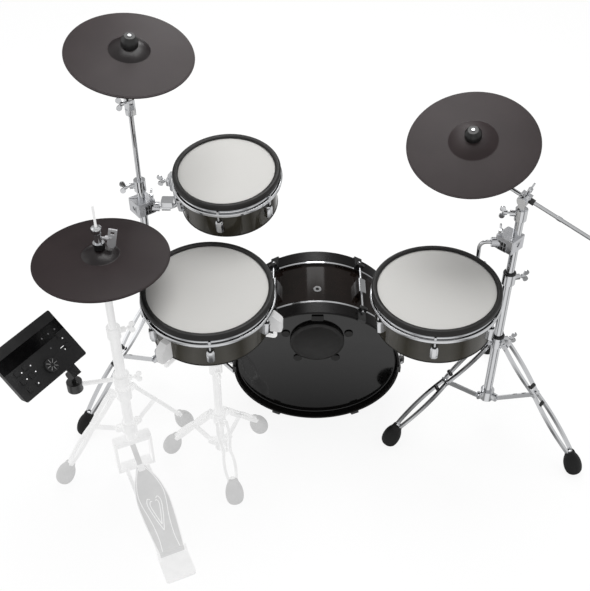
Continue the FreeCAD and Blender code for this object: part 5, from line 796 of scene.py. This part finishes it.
CYMBALS = {"crash": (0.156, 0.050, 0.004), "ride": (0.165, 0.061, 0.010), "hihat": (0.165, 0.046, 0.0015)}
low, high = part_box("hihat_pad")
SEATS = {"hihat": facing(Vector(((low.x + high.x) / 2, (low.y + high.y) / 2, high.z - BELL_TOP)), Vector((0, 0, 1)))}
for name in ("crash", "ride"):
    axis = (spot_of(name + "_sway") - spot_of(name + "_tilt")).normalized()
    SEATS[name] = facing(spot_of(name + "_sway") - axis * ROCK_HEIGHT, axis)
for name, (radius, bell, crease) in CYMBALS.items():
    pad = made(name + "_rubber", lathe(cymbal(radius, bell, crease)), SEATS[name], "cymbal_rubber", name + "_pad")
    # The crash and hi-hat bells get the polished rubber, whose darker colour is painted shade.
    pad.data.materials.append(FINISH["bell_rubber"])
    inward = SEATS[name].inverted()
    for face in pad.data.polygons:
        face.material_index = 1 if name != "ride" and (inward @ face.center).xy.length < bell else 0
    dressed(name + "_pad", ["rim_rubber"], keep=lambda middle, size: size.length < POD_SIZE)
print("cymbal pads", list(CYMBALS))

# %% [markdown]
# ## Nuts, seats and clutch
# The cymbal nut is black nylon, the seat felt and the spindle chrome. The islands of the tilters are told
# apart by their size and by their height over the rocking point. The hi-hat's pull rod is white lacquered;
# its clutch is chrome on a black foot, and the plate of the lock screw is nickel.

# %% Tilters
NUT_LEVEL, SEAT_LEVEL = 0.022, -0.02
SMALL = 0.09
CLUTCH_FOOT = 0.0165
PULL_ROD = 0.2


def held(middle, size, face):
    """Nut and seat are the small solids, one over the pad and one at the rocking point."""
    height = (inward @ middle).z
    return 0 if size.length >= SMALL else 1 if height > NUT_LEVEL else 2 if height > SEAT_LEVEL else 0


for name in ("crash", "ride"):
    inward = SEATS[name].inverted()
    dressed(name + "_tilter", ["chrome_plate", "black_nylon", "black_felt"], held)
bell_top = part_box("hihat_pad")[1].z


def clutch(middle, size, face):
    """The long pull rod is pale, what holds the pad from below and the clutch's foot are black."""
    if size.z > PULL_ROD:
        return 1
    if size.x > 1.5 * size.y:
        return 3
    return 2 if face.z < bell_top + CLUTCH_FOOT else 0


dressed("hihat_rod", ["chrome_plate", "white_lacquer", "black_nylon", "satin_nickel"], clutch)
print("tilters and clutch")

# %% [markdown]
# ## Kick drum
# The kick's frame has its Z towards the player. Hoops are turned wood with round edges and a black
# lacquer, the heads a glossy film with a rolled collar. Both are one outline each, turned once for the
# batter side and once, flipped, for the front.

# %% Kick drum
KICK_RADIUS = 0.238
KICK_WALL = 0.0065
KICK_DEPTH = 0.240
KICK_HOOP = 0.040
KICK_INSET = 0.019
KICK_SHELL = 0.2285
KICK_FILM = 0.001
COLLAR = 0.018

KICK = frame_of("kick_hoops", (0, -1, 0))
FLIP = Matrix.Rotation(math.pi, 4, "Y")
HALF = KICK_DEPTH / 2
inside = KICK_RADIUS - KICK_WALL
hoop = softened([(inside, HALF), (KICK_RADIUS, HALF), (KICK_RADIUS, HALF - KICK_HOOP), (inside, HALF - KICK_HOOP)],
                0.0022)
top = HALF - KICK_INSET
film = inside - 0.0003
collar = KICK_SHELL + 0.0003
head = softened([(0, top), (film - 0.006, top), (film - 0.0045, top + 0.0012), (film, top - 0.0005),
                 (film, top - COLLAR), (collar, top - COLLAR), (collar, top - KICK_FILM), (0, top - KICK_FILM)],
                0.0006, closed=False)
for side, matrix in (("batter", KICK), ("front", KICK @ FLIP)):
    made(f"kick_{side}_hoop", lathe(hoop, steps=192), matrix, "hoop_lacquer", "kick_hoops")
    made(f"kick_{side}_head", lathe(head, closed=False, steps=192), matrix, "head_film", "kick_heads")
dressed("kick_shell", ["kick_wrap"])
dressed("kick_trigger", ["foot_rubber"])
print("kick hoops and heads, radius", KICK_RADIUS)

# %% [markdown]
# ## Kick pad and hardware
# The beater's pad lies flat on the batter head, so the solid's height over the head is pressed down. The
# claws that hold the hoops are black, the rings, lugs and rods chrome, the spurs end in rubber tips.

# %% Kick pad and hardware
PAD_LOW = 0.62
PAD_EDGE, CLAW_EDGE = 0.0015, 0.001
CLAW_REACH = 0.09
GROMMET_SIZE = 0.05
SPUR_TIP = 0.02


def lower(middle, size, spot):
    """The pad lies flatter on the head than its solid: its height over the head shrinks."""
    inner = inward @ spot
    inner.z = top + (inner.z - top) * PAD_LOW if inner.z > top else inner.z
    return KICK @ inner


def kick_metal(middle, size, face):
    """Claws are black, the vent's grommet dark grey, the rest chrome."""
    if size.length < GROMMET_SIZE:
        return 2
    return 1 if abs((inward @ middle).z) > CLAW_REACH else 0


inward = KICK.inverted()
dressed("kick_impact_pad", ["rim_rubber"], edge=PAD_EDGE, reshape=lower)
dressed("kick_hardware", ["chrome_plate", "black_lacquer", "lens_grey"], kick_metal, edge=CLAW_EDGE)
for side in ("left", "right"):
    dressed("kick_spur_" + side, ["chrome_plate", "foot_rubber"],
            lambda middle, size, face: 1 if face.z < SPUR_TIP else 0)
print("kick pad, claws and spurs")

# %% [markdown]
# ## Feet
# Every leg of a stand ends in a rubber foot, moulded as a full bell with a narrow neck. The construction
# model has a plain cone there. Its faces could be bent into shape, but it is easier to leave out all that
# lies below the cone's flat top and to turn a new foot in its place, flattened where it meets the floor.

# %% Feet
FOOT_LENGTH = 0.0715
NEAR, FAR = FOOT_LENGTH * 0.8, FOOT_LENGTH * 1.2
ROUND_TOP = FOOT_LENGTH * 1.15
FACES_ALONG = 0.88
FOOT_APART = 0.1
SOLE = 0.004
FOOT = [(0.0, -0.002), (0.0155, -0.002), (0.0225, 0.006), (0.0255, 0.021), (0.0247, 0.038), (0.0205, 0.052),
        (0.0150, 0.062), (0.0138, 0.0745), (0.0, 0.0745)]
NECK = [(0.0, 0.060), (0.0085, 0.060), (0.0085, 0.078), (0.0, 0.078)]
FLOOR_GAP = 0.0002
ON_TOP = 0.0005


def tips(node):
    """The middle of each foot's sole: the lowest points of a node, sorted into groups."""
    groups = []
    for point in map(Vector, cloud(node)):
        if point.z < SOLE:
            near = [group for group in groups if (group[0] - point).length < FOOT_APART]
            (near[0] if near else groups.append([]) or groups[-1]).append(point)
    return [sum(group, Vector()) / len(group) for group in groups]


def foot(points, sole, outline):
    """A turned piece that follows the lean of the construction model's foot and ends on the floor."""
    near = [point for point in points if NEAR < (point - sole).length < ROUND_TOP]
    lean = (sum(near, Vector()) / len(near) - sole).normalized()
    mesh = lathe(softened(outline, 0.006, closed=False), closed=False, steps=48)
    mesh.transform(facing(sole + lean * SOLE, lean))
    for vert in mesh.vertices:
        vert.co.z = max(vert.co.z, FLOOR_GAP)
    return mesh


def crown(work, sole):
    """The flat top of the construction model's foot, as a point and the way it faces."""
    spots = [(face, face.calc_center_median() - sole) for face in work.faces]
    near = [(face, way) for face, way in spots if NEAR < way.length < FAR]
    tops = [face for face, way in near if face.normal.dot(way.normalized()) > FACES_ALONG]
    top = max(tops, key=lambda face: face.calc_area())
    return top.calc_center_median(), top.normal.copy()


def stand(node, steel, rubber, pedal=None):
    """Dresses a node of a stand and gives its legs new feet; a pedal's plate on the floor is no foot."""
    soles = [sole for sole in tips(node) if not pedal or abs((sole - pedal[0]).cross(pedal[1]).z) > FOOT_APART]
    points = list(map(Vector, cloud(node)))
    work = merged(node)
    tops = [(sole, *crown(work, sole)) for sole in soles]
    work.free()
    below = lambda face: any((face - sole).length < FOOT_APART and (face - spot).dot(normal) < ON_TOP
                             for sole, spot, normal in tops)
    dressed(node, [steel], drop=below)
    made(node + "_feet", joined(*[foot(points, sole, FOOT) for sole in soles]), Matrix.Identity(4), rubber, node)
    made(node + "_necks", joined(*[foot(points, sole, NECK) for sole in soles]), Matrix.Identity(4), steel, node)


print("foot", FOOT_LENGTH * 1000, "mm long")

# %% [markdown]
# ## Folding stands
# The two folding stands are chrome steel with satin clamp blocks. Black nylon bushes sit where one tube
# slides in another, and two black clips hold the bowed bars of each leg together, above and below its
# waist. The construction model gives the places: the middle of the mast and the outer end of each brace.

# %% Folding stands
UPWARD = Vector((0, 0, 1))
MAST_RADIUS, BASE_RADIUS = 0.0112, 0.0128
BUSH_WALL, BUSH_HIGH = 0.0055, 0.0035
BRACE_END = 0.012
CLIP_APART, CLIP_HALF = 0.03, 0.009
BLOCK_LOWEST, BLOCK_HIGHEST, BLOCK_BROAD = 0.03, 0.045, 0.06


def solids(node):
    """Middle and size of each solid in a node."""
    work = merged(node)
    found = [middle_of(faces) for faces in islands(work)]
    work.free()
    return found


def bush(name, node, spot, axis, inner, length):
    """A black nylon ring around a tube or a pin."""
    outer = inner + BUSH_WALL
    outline = softened([(inner, 0), (outer, 0), (outer, length), (inner, length)], 0.0008)
    made(name, lathe(outline, steps=64), facing(spot, axis), "black_nylon", node)


def casting(middle, size, face=None):
    """A mast's clamp block is its only solid that is low and broad."""
    return 1 if BLOCK_LOWEST < size.z < BLOCK_HIGHEST and size.x > BLOCK_BROAD else 0


for side in ("left", "right"):
    for part in ("base", "collar", "tom_rod"):
        dressed(f"{side}_{part}", ["chrome_plate"])
    dressed(side + "_mast", ["chrome_plate", "satin_chrome"], casting)
    mast = max(solids(side + "_mast"), key=lambda solid: solid[1].z)[0]
    for part, inner in (("base", MAST_RADIUS), ("collar", BASE_RADIUS)):
        middle, size = max(solids(f"{side}_{part}"), key=lambda solid: solid[1].length)
        spot = Vector((mast.x, mast.y, middle.z + size.z / 2))
        bush(f"{side}_{part}_bush", f"{side}_{part}", spot, UPWARD, inner, BUSH_HIGH)
    for number in (1, 2, 3):
        leg, brace = f"{side}_leg_{number}", f"{side}_brace_{number}"
        stand(leg, "chrome_plate", "foot_rubber")
        dressed(brace, ["chrome_plate"])
        tip = max(map(Vector, cloud(brace)), key=lambda point: (point - mast).xy.length)
        out = (tip - mast) * Vector((1, 1, 0))
        heights = [point[2] for point in cloud(brace) if (Vector(point) - tip).length < BRACE_END]
        waist = Vector((mast.x, mast.y, 0)) + out + UPWARD * np.mean(heights)
        across = UPWARD.cross(out).normalized()
        down = (tips(leg)[0] - waist).normalized()
        for end in (-1, 1):
            spot = waist + down * CLIP_APART * end - across * CLIP_HALF
            bush(f"{leg}_clip_{end + 1}", leg, spot, across, 0.0, CLIP_HALF * 2)
print("folding stands")

# %% [markdown]
# ## Hollows of the clamp blocks
# A clamp block is a hollow zinc casting, open at the side next to its rod and stiffened by ribs. The
# opening is shallow to the eye, so a black plate of painted shade with raised ribs on the flat side gives
# its dark inside. The flat side is found as the broadest face that looks towards the player and the rod.

# %% Clamp hollows
HOLLOW_HALF, HOLLOW_HIGH, HOLLOW_RIB = 0.0125, 0.0135, 0.0009
HOLLOW_FORWARD = 0.0075
HOLLOW_FLOOR, UPRIGHT_RIB, LEVEL_RIB = 0.0003, 0.0016, 0.0015
SUNK = -0.0002
TOWARDS_US = 1.3
SAME_PLANE = 0.0005


def hollow(side, turn):
    """The cast side of a clamp next to its rod: a hollow drawn as a black plate of painted shade, crossed by ribs."""
    work = merged(side + "_mast")
    block = next(faces for faces in islands(work) if casting(*middle_of(faces)))
    facing_us = [face for face in block if face.normal.dot(Vector((turn, -1, 0))) > TOWARDS_US]
    broad = max(facing_us, key=lambda face: face.calc_area())
    normal, level = broad.normal.copy(), broad.calc_center_median()
    flat = [face for face in facing_us if abs((face.calc_center_median() - level).dot(normal)) < SAME_PLANE]
    spot = sum((face.calc_center_median() * face.calc_area() for face in flat), Vector())
    spot /= sum(face.calc_area() for face in flat)
    work.free()
    across = UPWARD.cross(normal)
    spot = spot + across * HOLLOW_FORWARD * -turn
    place = Matrix.Translation(spot) @ Matrix((across, UPWARD, normal)).transposed().to_4x4()
    width, height, rib = HOLLOW_HALF, HOLLOW_HIGH, HOLLOW_RIB
    # The black floor is painted shade of the hollow's inside.
    floor = plate(-width, width, -height, height, SUNK, HOLLOW_FLOOR)
    made(side + "_clamp_hollow", floor, place, "black_lacquer", side + "_mast")
    bars = [plate(x - rib, x + rib, -height, height, SUNK, UPRIGHT_RIB)
            for x in (-width, -width / 3, width / 3, width)]
    bars += [plate(-width, width, y - rib, y + rib, SUNK, LEVEL_RIB) for y in (-height, 0, height)]
    made(side + "_clamp_ribs", joined(*bars), place, "satin_chrome", side + "_mast")


hollow("left", 1)
hollow("right", -1)
print("clamp hollows", HOLLOW_HALF * 2000, "mm wide")

# %% [markdown]
# ## Boom, module mount and pale stands
# The boom clamp is chrome with a black ferrule. The arm of the module, the hi-hat stand and the snare stand
# are white lacquered; only the module's joint is black. The basket's rubber grips are wedges, so their
# solids are stretched outward and drawn in at the sides.

# %% Boom and pale stands
FERRULE = 0.0145
MOUNT_INSET = 0.016
ARM_HEIGHT = 0.1
GRIP_DEEP, GRIP_WIDE, GRIP_LOW = 1.2, 0.72, 0.8

dressed("crash_rod", ["chrome_plate"])
boom_spot, boom_axis = spot_of("boom_tilt"), Vector(JOINTS["boom_reach"]["axis"])
dressed("boom_clamp", ["chrome_plate", "black_lacquer"],
        lambda middle, size, face: 1 if (face - boom_spot).dot(boom_axis) > FERRULE else 0)
dressed("boom_arm", ["chrome_plate"])


def grip(middle, size, spot):
    """The grips are deeper, narrower and shorter than their solids."""
    if size.z > ARM_HEIGHT:
        return spot
    outward = ((middle - PADS["snare"][0].translation) * Vector((1, 1, 0))).normalized()
    across = UPWARD.cross(outward)
    flat = outward * (spot - middle).dot(outward) * GRIP_DEEP + across * (spot - middle).dot(across) * GRIP_WIDE
    crown_height = middle.z + size.z / 2
    return Vector((middle.x, middle.y, crown_height - (crown_height - spot.z) * GRIP_LOW)) + flat


dressed("snare_basket", ["white_lacquer", "white_rubber"],
        lambda middle, size, face: 0 if size.z > ARM_HEIGHT else 1, reshape=grip)
case_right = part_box("module_case")[1].x
dressed("module_mount", ["white_lacquer", "black_lacquer"],
        lambda middle, size, face: 1 if face.x < case_right - MOUNT_INSET else 0)
heel = spot_of("hihat_pedal")
length = (SEATS["hihat"].translation - heel) * Vector((1, 1, 0))
stand("hihat_stand", "white_lacquer", "pale_rubber", (heel, length.normalized()))
stand("snare_stand", "white_lacquer", "pale_rubber")
print("boom, mount and pale stands")

# %% [markdown]
# ## Things along a path
# The ribs of a casting are round strips that follow a line. A second small tree turns a line into such a
# strip: it takes the line's edges as a curve, sweeps a circle along it and gives the finish.

# %% Path tree
STRIP_STEPS = 12

PATH = tree_with("along_path", [("Radius", "Float"), ("Finish", "Material")])
source = PATH.nodes.new("NodeGroupInput")
curve = PATH.nodes.new("GeometryNodeMeshToCurve")
circle = PATH.nodes.new("GeometryNodeCurvePrimitiveCircle")
circle.inputs["Resolution"].default_value = STRIP_STEPS
sweep = PATH.nodes.new("GeometryNodeCurveToMesh")
sweep.inputs["Fill Caps"].default_value = True
real = PATH.nodes.new("GeometryNodeRealizeInstances")
coat = PATH.nodes.new("GeometryNodeSetMaterial")
result = PATH.nodes.new("NodeGroupOutput")
for start, end in ((source.outputs["Geometry"], curve.inputs["Mesh"]), (curve.outputs["Curve"], sweep.inputs["Curve"]),
                   (source.outputs["Radius"], circle.inputs["Radius"]),
                   (circle.outputs["Curve"], sweep.inputs["Profile Curve"]),
                   (sweep.outputs["Mesh"], real.inputs[0]), (real.outputs[0], coat.inputs["Geometry"]),
                   (source.outputs["Finish"], coat.inputs["Material"]), (coat.outputs[0], result.inputs[0])):
    PATH.links.new(start, end)


def along(name, lines, radius, matrix, material, node):
    """Round strips along lines of points in a frame."""
    points = [point for line in lines for point in line]
    starts = np.cumsum([0] + [len(line) for line in lines])
    edges = [(start + i, start + i + 1) for start, line in zip(starts, lines) for i in range(len(line) - 1)]
    mesh = bpy.data.meshes.new("line")
    mesh.from_pydata(points, edges, [])
    return made(name, grown(PATH, mesh, {"Radius": radius, "Finish": FINISH[material]}), matrix, material, node)


print("path tree with", len(PATH.nodes), "nodes")

# %% [markdown]
# ## Footboard
# The board is a cast plate, wide in the middle, with raised edge ribs that swing in towards the heel and
# two nested grip ribs shaped like a drop. A strap joins its toe to the pull rod. The plate is lofted from
# its outline, and the ribs are swept along smooth lines by the path tree, as a casting's ribs are round.

# %% Footboard
BOARD_SHARE = 0.77
BOARD_HALF_SHEET = 0.0045
BOARD_WIDTHS = [(0.0, 0.033), (0.1, 0.036), (0.35, 0.042), (0.6, 0.0445), (0.8, 0.035), (0.94, 0.018), (1.0, 0.013)]
EDGE_RIB = [(0.02, 0.024), (0.15, 0.0205), (0.35, 0.024), (0.55, 0.034), (0.68, 0.0365), (0.85, 0.026), (0.98, 0.010)]
DROPS = ([(0.23, 0.0), (0.38, 0.0115), (0.55, 0.021), (0.62, 0.0155), (0.60, 0.008)],
         [(0.30, 0.0), (0.42, 0.0075), (0.54, 0.0135), (0.58, 0.009), (0.57, 0.004)])
RIB = 0.0012
EYE_HOLE, EYE_RADIUS, EYE_HALF = 0.0045, 0.0075, 0.033
STRAP_HALF = 0.0075
BUCKLE_HALF = STRAP_HALF * 1.3

axis = Vector(JOINTS["hihat_pedal"]["axis"])
toe = max(map(Vector, cloud("hihat_footboard")), key=lambda point: (point - heel).length)
run = (toe - heel) - axis * (toe - heel).dot(axis)
lengthwise = run.normalized()
axis *= 1 if axis.cross(lengthwise).z < 0 else -1
BOARD = Matrix.Translation(heel) @ Matrix((lengthwise, axis, lengthwise.cross(axis))).transposed().to_4x4()
reach = run.length * BOARD_SHARE


def curved(rows, steps=8):
    """A smooth line through (share of the length, half width) rows."""
    shares, halves = np.array(rows).T
    spots = np.linspace(0, len(rows) - 1, (len(rows) - 1) * steps + 1)
    middle = lambda values: np.interp(spots, range(len(rows)), values)
    blur = lambda values: np.convolve(np.pad(values, 3, "edge"), np.ones(7) / 7, "valid")
    line = np.c_[blur(middle(shares)) * reach, blur(middle(halves))]
    line[0], line[-1] = (rows[0][0] * reach, rows[0][1]), (rows[-1][0] * reach, rows[-1][1])
    return line


side = curved(BOARD_WIDTHS)
outline = [(x, y) for x, y in side] + [(x, -y) for x, y in side[::-1]]
board = loft([[(x, y, height) for x, y in outline] for height in (-BOARD_HALF_SHEET, BOARD_HALF_SHEET)])
ends = [(EYE_HOLE, -EYE_HALF), (EYE_RADIUS, -EYE_HALF), (EYE_RADIUS, EYE_HALF), (EYE_HOLE, EYE_HALF)]
eye = lathe(softened(ends, 0.001), steps=48)
eye.transform(Matrix.Rotation(math.pi / 2, 4, "X"))
made("footboard_plate", joined(bevelled(board, 0.001), eye), BOARD, "grey_lacquer", "hihat_footboard")
ribs = [[(x, turn * y, BOARD_HALF_SHEET) for x, y in curved(rows)]
        for rows in (EDGE_RIB, *DROPS, BOARD_WIDTHS) for turn in (-1, 1)]
along("footboard_ribs", ribs, RIB, BOARD, "white_lacquer", "hihat_footboard")
sheet = BOARD_HALF_SHEET
strap = plate(reach - 0.012, run.length, -STRAP_HALF, STRAP_HALF, sheet - 0.001, sheet + 0.0025)
made("footboard_strap", strap, BOARD, "grey_lacquer", "hihat_footboard")
buckle = plate(reach - 0.016, reach + 0.004, -BUCKLE_HALF, BUCKLE_HALF, sheet, sheet + 0.005)
made("footboard_buckle", bevelled(buckle, 0.0008), BOARD, "white_lacquer", "hihat_footboard")
print("footboard", round(reach, 3), "of", round(run.length, 3))

# %% [markdown]
# ## Sound module
# The module keeps its moulded case. Its frame comes from its joints: the dial turns about the panel's
# upright and the case tilts about the panel's length. A dark acrylic strip covers the screen from edge to
# edge and steps back beside a key. On the panel lie four grey lenses, a level line, white lights beside the
# keys and one on a key, and the ring tree sets eight spokes on the dial.

# %% Sound module
DIAL = (0.007, -0.041)
DIAL_TOP = 0.012
WINDOW = ((-0.103, 0.0105), (0.070, 0.0105), (0.070, 0.0150), (0.103, 0.0150), (0.103, 0.0468),
          (-0.103, 0.0468))
WINDOW_SUNK, WINDOW_RISE = -0.0004, 0.0006
LENS_RADIUS = 0.0024
LENSES = ((0.0374, 0.0264), (0.0589, 0.0262), (0.0805, 0.0258), (0.0388, -0.0063))
LIGHTS = ((-0.0622, -0.0083), (-0.0326, -0.0078), (-0.0628, -0.0282), (-0.0326, -0.0272), (0.0807, -0.005),
          (0.0665, -0.031))
KEY_LIGHT = (-0.048, -0.054, 0.0025)
LIGHT_RADIUS, LIGHT_RISE = 0.0016, 0.0005
LEVEL = (0.058, 0.0695, -0.0225, -0.0211, -0.0003, 0.0005)
SPOKE = (0.005, 0.0155, -0.0007, 0.0007, DIAL_TOP - 0.0002, DIAL_TOP + 0.0004)
SPOKE_COUNT = 8

dial = next(joint for joint in frame["joints"] if joint["child"] == "module_dial")
upright, length = Vector(dial["axis"]), Vector(JOINTS["module_tilt"]["axis"])
upright *= 1 if upright.z > 0 else -1
length *= 1 if length.x > 0 else -1
panel = Matrix((length, upright.cross(length), upright)).transposed().to_4x4()
panel = Matrix.Translation(Vector(dial["pos_m"])) @ panel
PANEL = panel @ Matrix.Translation((-DIAL[0], -DIAL[1], local("module_case", panel)[1].max()))


def stud(radius, rise, x, y):
    """A low round stud on the panel."""
    outline = [(0, rise), (radius * 0.7, rise), (radius, rise / 3), (radius, -rise), (0, -rise)]
    return moved(lathe(outline, False, 24), x, y, 0)


for node in ("module_case", "module_dial", "module_buttons"):
    dressed(node, ["module_abs"])
window = loft([[(x, y, height) for x, y in WINDOW] for height in (WINDOW_SUNK, WINDOW_RISE)])
made("module_window", window, PANEL, "screen_acrylic", "module_case")
lenses = joined(*[stud(LENS_RADIUS, WINDOW_RISE * 2, x, y) for x, y in LENSES])
made("module_lenses", lenses, PANEL, "lens_grey", "module_case")
lit = stud(LIGHT_RADIUS, LIGHT_RISE, KEY_LIGHT[0], KEY_LIGHT[1])
made("module_key_light", lit, PANEL @ Matrix.Translation((0, 0, KEY_LIGHT[2])), "key_light", "module_buttons")
lights = joined(*[stud(LIGHT_RADIUS, LIGHT_RISE, x, y) for x, y in LIGHTS])
made("module_lights", lights, PANEL, "key_light", "module_case")
made("module_level", plate(*LEVEL), PANEL, "key_light", "module_case")
hub = PANEL @ Matrix.Translation((*DIAL, 0))
ring("module_spokes", plate(*SPOKE), hub, "key_print", "module_dial", SPOKE_COUNT)
print("module with", len(LIGHTS), "lights")

# %% [markdown]
# ## Floor
# Mirror rays pass through it to the pale room below, so that chrome shows an even white there.

# %% Floor
FLOOR_SIZE = 60.0
WHITE_SHARE = 0.84
PAPER_WHITE = 1.05

floor_mesh = bpy.data.meshes.new("floor")
half = FLOOR_SIZE / 2
floor_mesh.from_pydata([(-half, -half, 0), (half, -half, 0), (half, half, 0), (-half, half, 0)], [], [(0, 1, 2, 3)])
floor = bpy.data.objects.new("floor", floor_mesh)
bpy.context.scene.collection.objects.link(floor)
# Uncoated paper: white and without shine.
tree, shader = finish("floor_paper", "#f4f4f4", 0.9)
paper = add(tree, "Emission", in_Strength=PAPER_WHITE, in_Color=(1, 1, 1, 1))
path = add(tree, "LightPath")
share = add(tree, "Math", [(path.outputs["Is Camera Ray"], 0)], in_1=WHITE_SHARE, operation="MULTIPLY")
mix = add(tree, "MixShader", [(share.outputs["Value"], 0), (shader.outputs["BSDF"], 1), (paper.outputs["Emission"], 2)])
clear = add(tree, "BsdfTransparent")
seen = add(tree, "MixShader", [(path.outputs["Is Glossy Ray"], 0), (mix.outputs["Shader"], 1),
                               (clear.outputs["BSDF"], 2)])
tree.links.new(seen.outputs["Shader"], tree.nodes["Material Output"].inputs["Surface"])
floor_mesh.materials.append(FINISH["floor_paper"])
print("floor", FLOOR_SIZE, "m wide")

# %% Lamps
LAMPS = {"key": ((0.0, 0.7, 3.1), 1.8, 36), "back": ((0.0, 2.6, 2.7), 1.1, 14), "side": ((-3.2, -0.2, 2.2), 1.8, 6)}
KIT_MIDDLE = Vector((0, 0, 0.5))

for name, (spot, size, power) in LAMPS.items():
    lamp = bpy.data.lights.new(name, "AREA")
    lamp.energy = power
    lamp.size = size
    holder = bpy.data.objects.new(name, lamp)
    bpy.context.scene.collection.objects.link(holder)
    holder.location = spot
    holder.rotation_euler = (KIT_MIDDLE - Vector(spot)).to_track_quat("-Z", "Y").to_euler()
print("lamps", list(LAMPS))

# %% [markdown]
# ## Room
# Chrome and gloss show the room, so the room is what gives them their light and dark. Above the horizon
# it is dark ahead and grows paler upwards, and it is pale behind the player and at the sides. Below the
# horizon it is white paper with a grey band at each side, and darker close to the feet, a painted shadow
# of the kit on the floor there. The camera itself sees plain white.

# %% Room
world = bpy.data.worlds.new("studio")
bpy.context.scene.world = world
world.use_nodes = True
tree = world.node_tree
back = tree.nodes["Background"]
split = add(tree, "SeparateXYZ", [(add(tree, "TexCoord").outputs["Generated"], "Vector")])
aside = add(tree, "Math", [(split.outputs["X"], 0)], operation="ABSOLUTE")
ahead = add(tree, "ValToRGB", [(split.outputs["Z"], "Fac")],
            [(0.0, "#303030"), (0.12, "#3c3c3c"), (0.32, "#6a6a6a"), (0.6, "#b8b8b8"), (0.7, "#d0d0d0")])
behind = add(tree, "ValToRGB", [(split.outputs["Z"], "Fac")],
             [(0.0, "#a8a8a8"), (0.1, "#e4e4e4"), (0.4, "#e8e8e8"), (0.7, "#d0d0d0")])
towards = add(tree, "MapRange", [(split.outputs["Y"], "Value")], in_From_Min=0.1, in_From_Max=-0.3)
sideways = add(tree, "MapRange", [(aside.outputs["Value"], "Value")], in_From_Min=0.6, in_From_Max=0.85)
bright = add(tree, "Math", [(towards.outputs["Result"], 0), (sideways.outputs["Result"], 1)], operation="MAXIMUM")
above = add(tree, "Mix", [(bright.outputs["Value"], "Factor"), (ahead.outputs["Color"], 6),
                          (behind.outputs["Color"], 7)], data_type="RGBA")
below = add(tree, "ValToRGB", [(aside.outputs["Value"], "Fac")],
            [(0.0, "#fafafa"), (0.34, "#f4f4f4"), (0.48, "#c0c0c0"), (0.58, "#707070"), (0.7, "#e8e8e8")])
depth = add(tree, "Math", [(split.outputs["Z"], 0)], operation="ABSOLUTE")
# Steep rays down would meet the floor in the kit's own shade: this darkening is a painted shadow.
near = add(tree, "ValToRGB", [(depth.outputs["Value"], "Fac")],
           [(0.0, "#ffffff"), (0.815, "#ffffff"), (0.865, "#606060")])
shaded = add(tree, "Mix", [(below.outputs["Color"], 6), (near.outputs["Color"], 7)], data_type="RGBA",
             blend_type="MULTIPLY", in_0=1.0)
under = add(tree, "Math", [(split.outputs["Z"], 0)], in_1=0.0, operation="LESS_THAN")
room = add(tree, "Mix", [(under.outputs["Value"], "Factor"), (above.outputs[2], 6), (shaded.outputs[2], 7)],
           data_type="RGBA")
path = add(tree, "LightPath")
white = add(tree, "Mix", [(path.outputs["Is Camera Ray"], "Factor"), (room.outputs[2], 6)], data_type="RGBA",
            in_7=(1, 1, 1, 1))
tree.links.new(white.outputs[2], back.inputs["Color"])
print("room with", len(tree.nodes), "nodes")
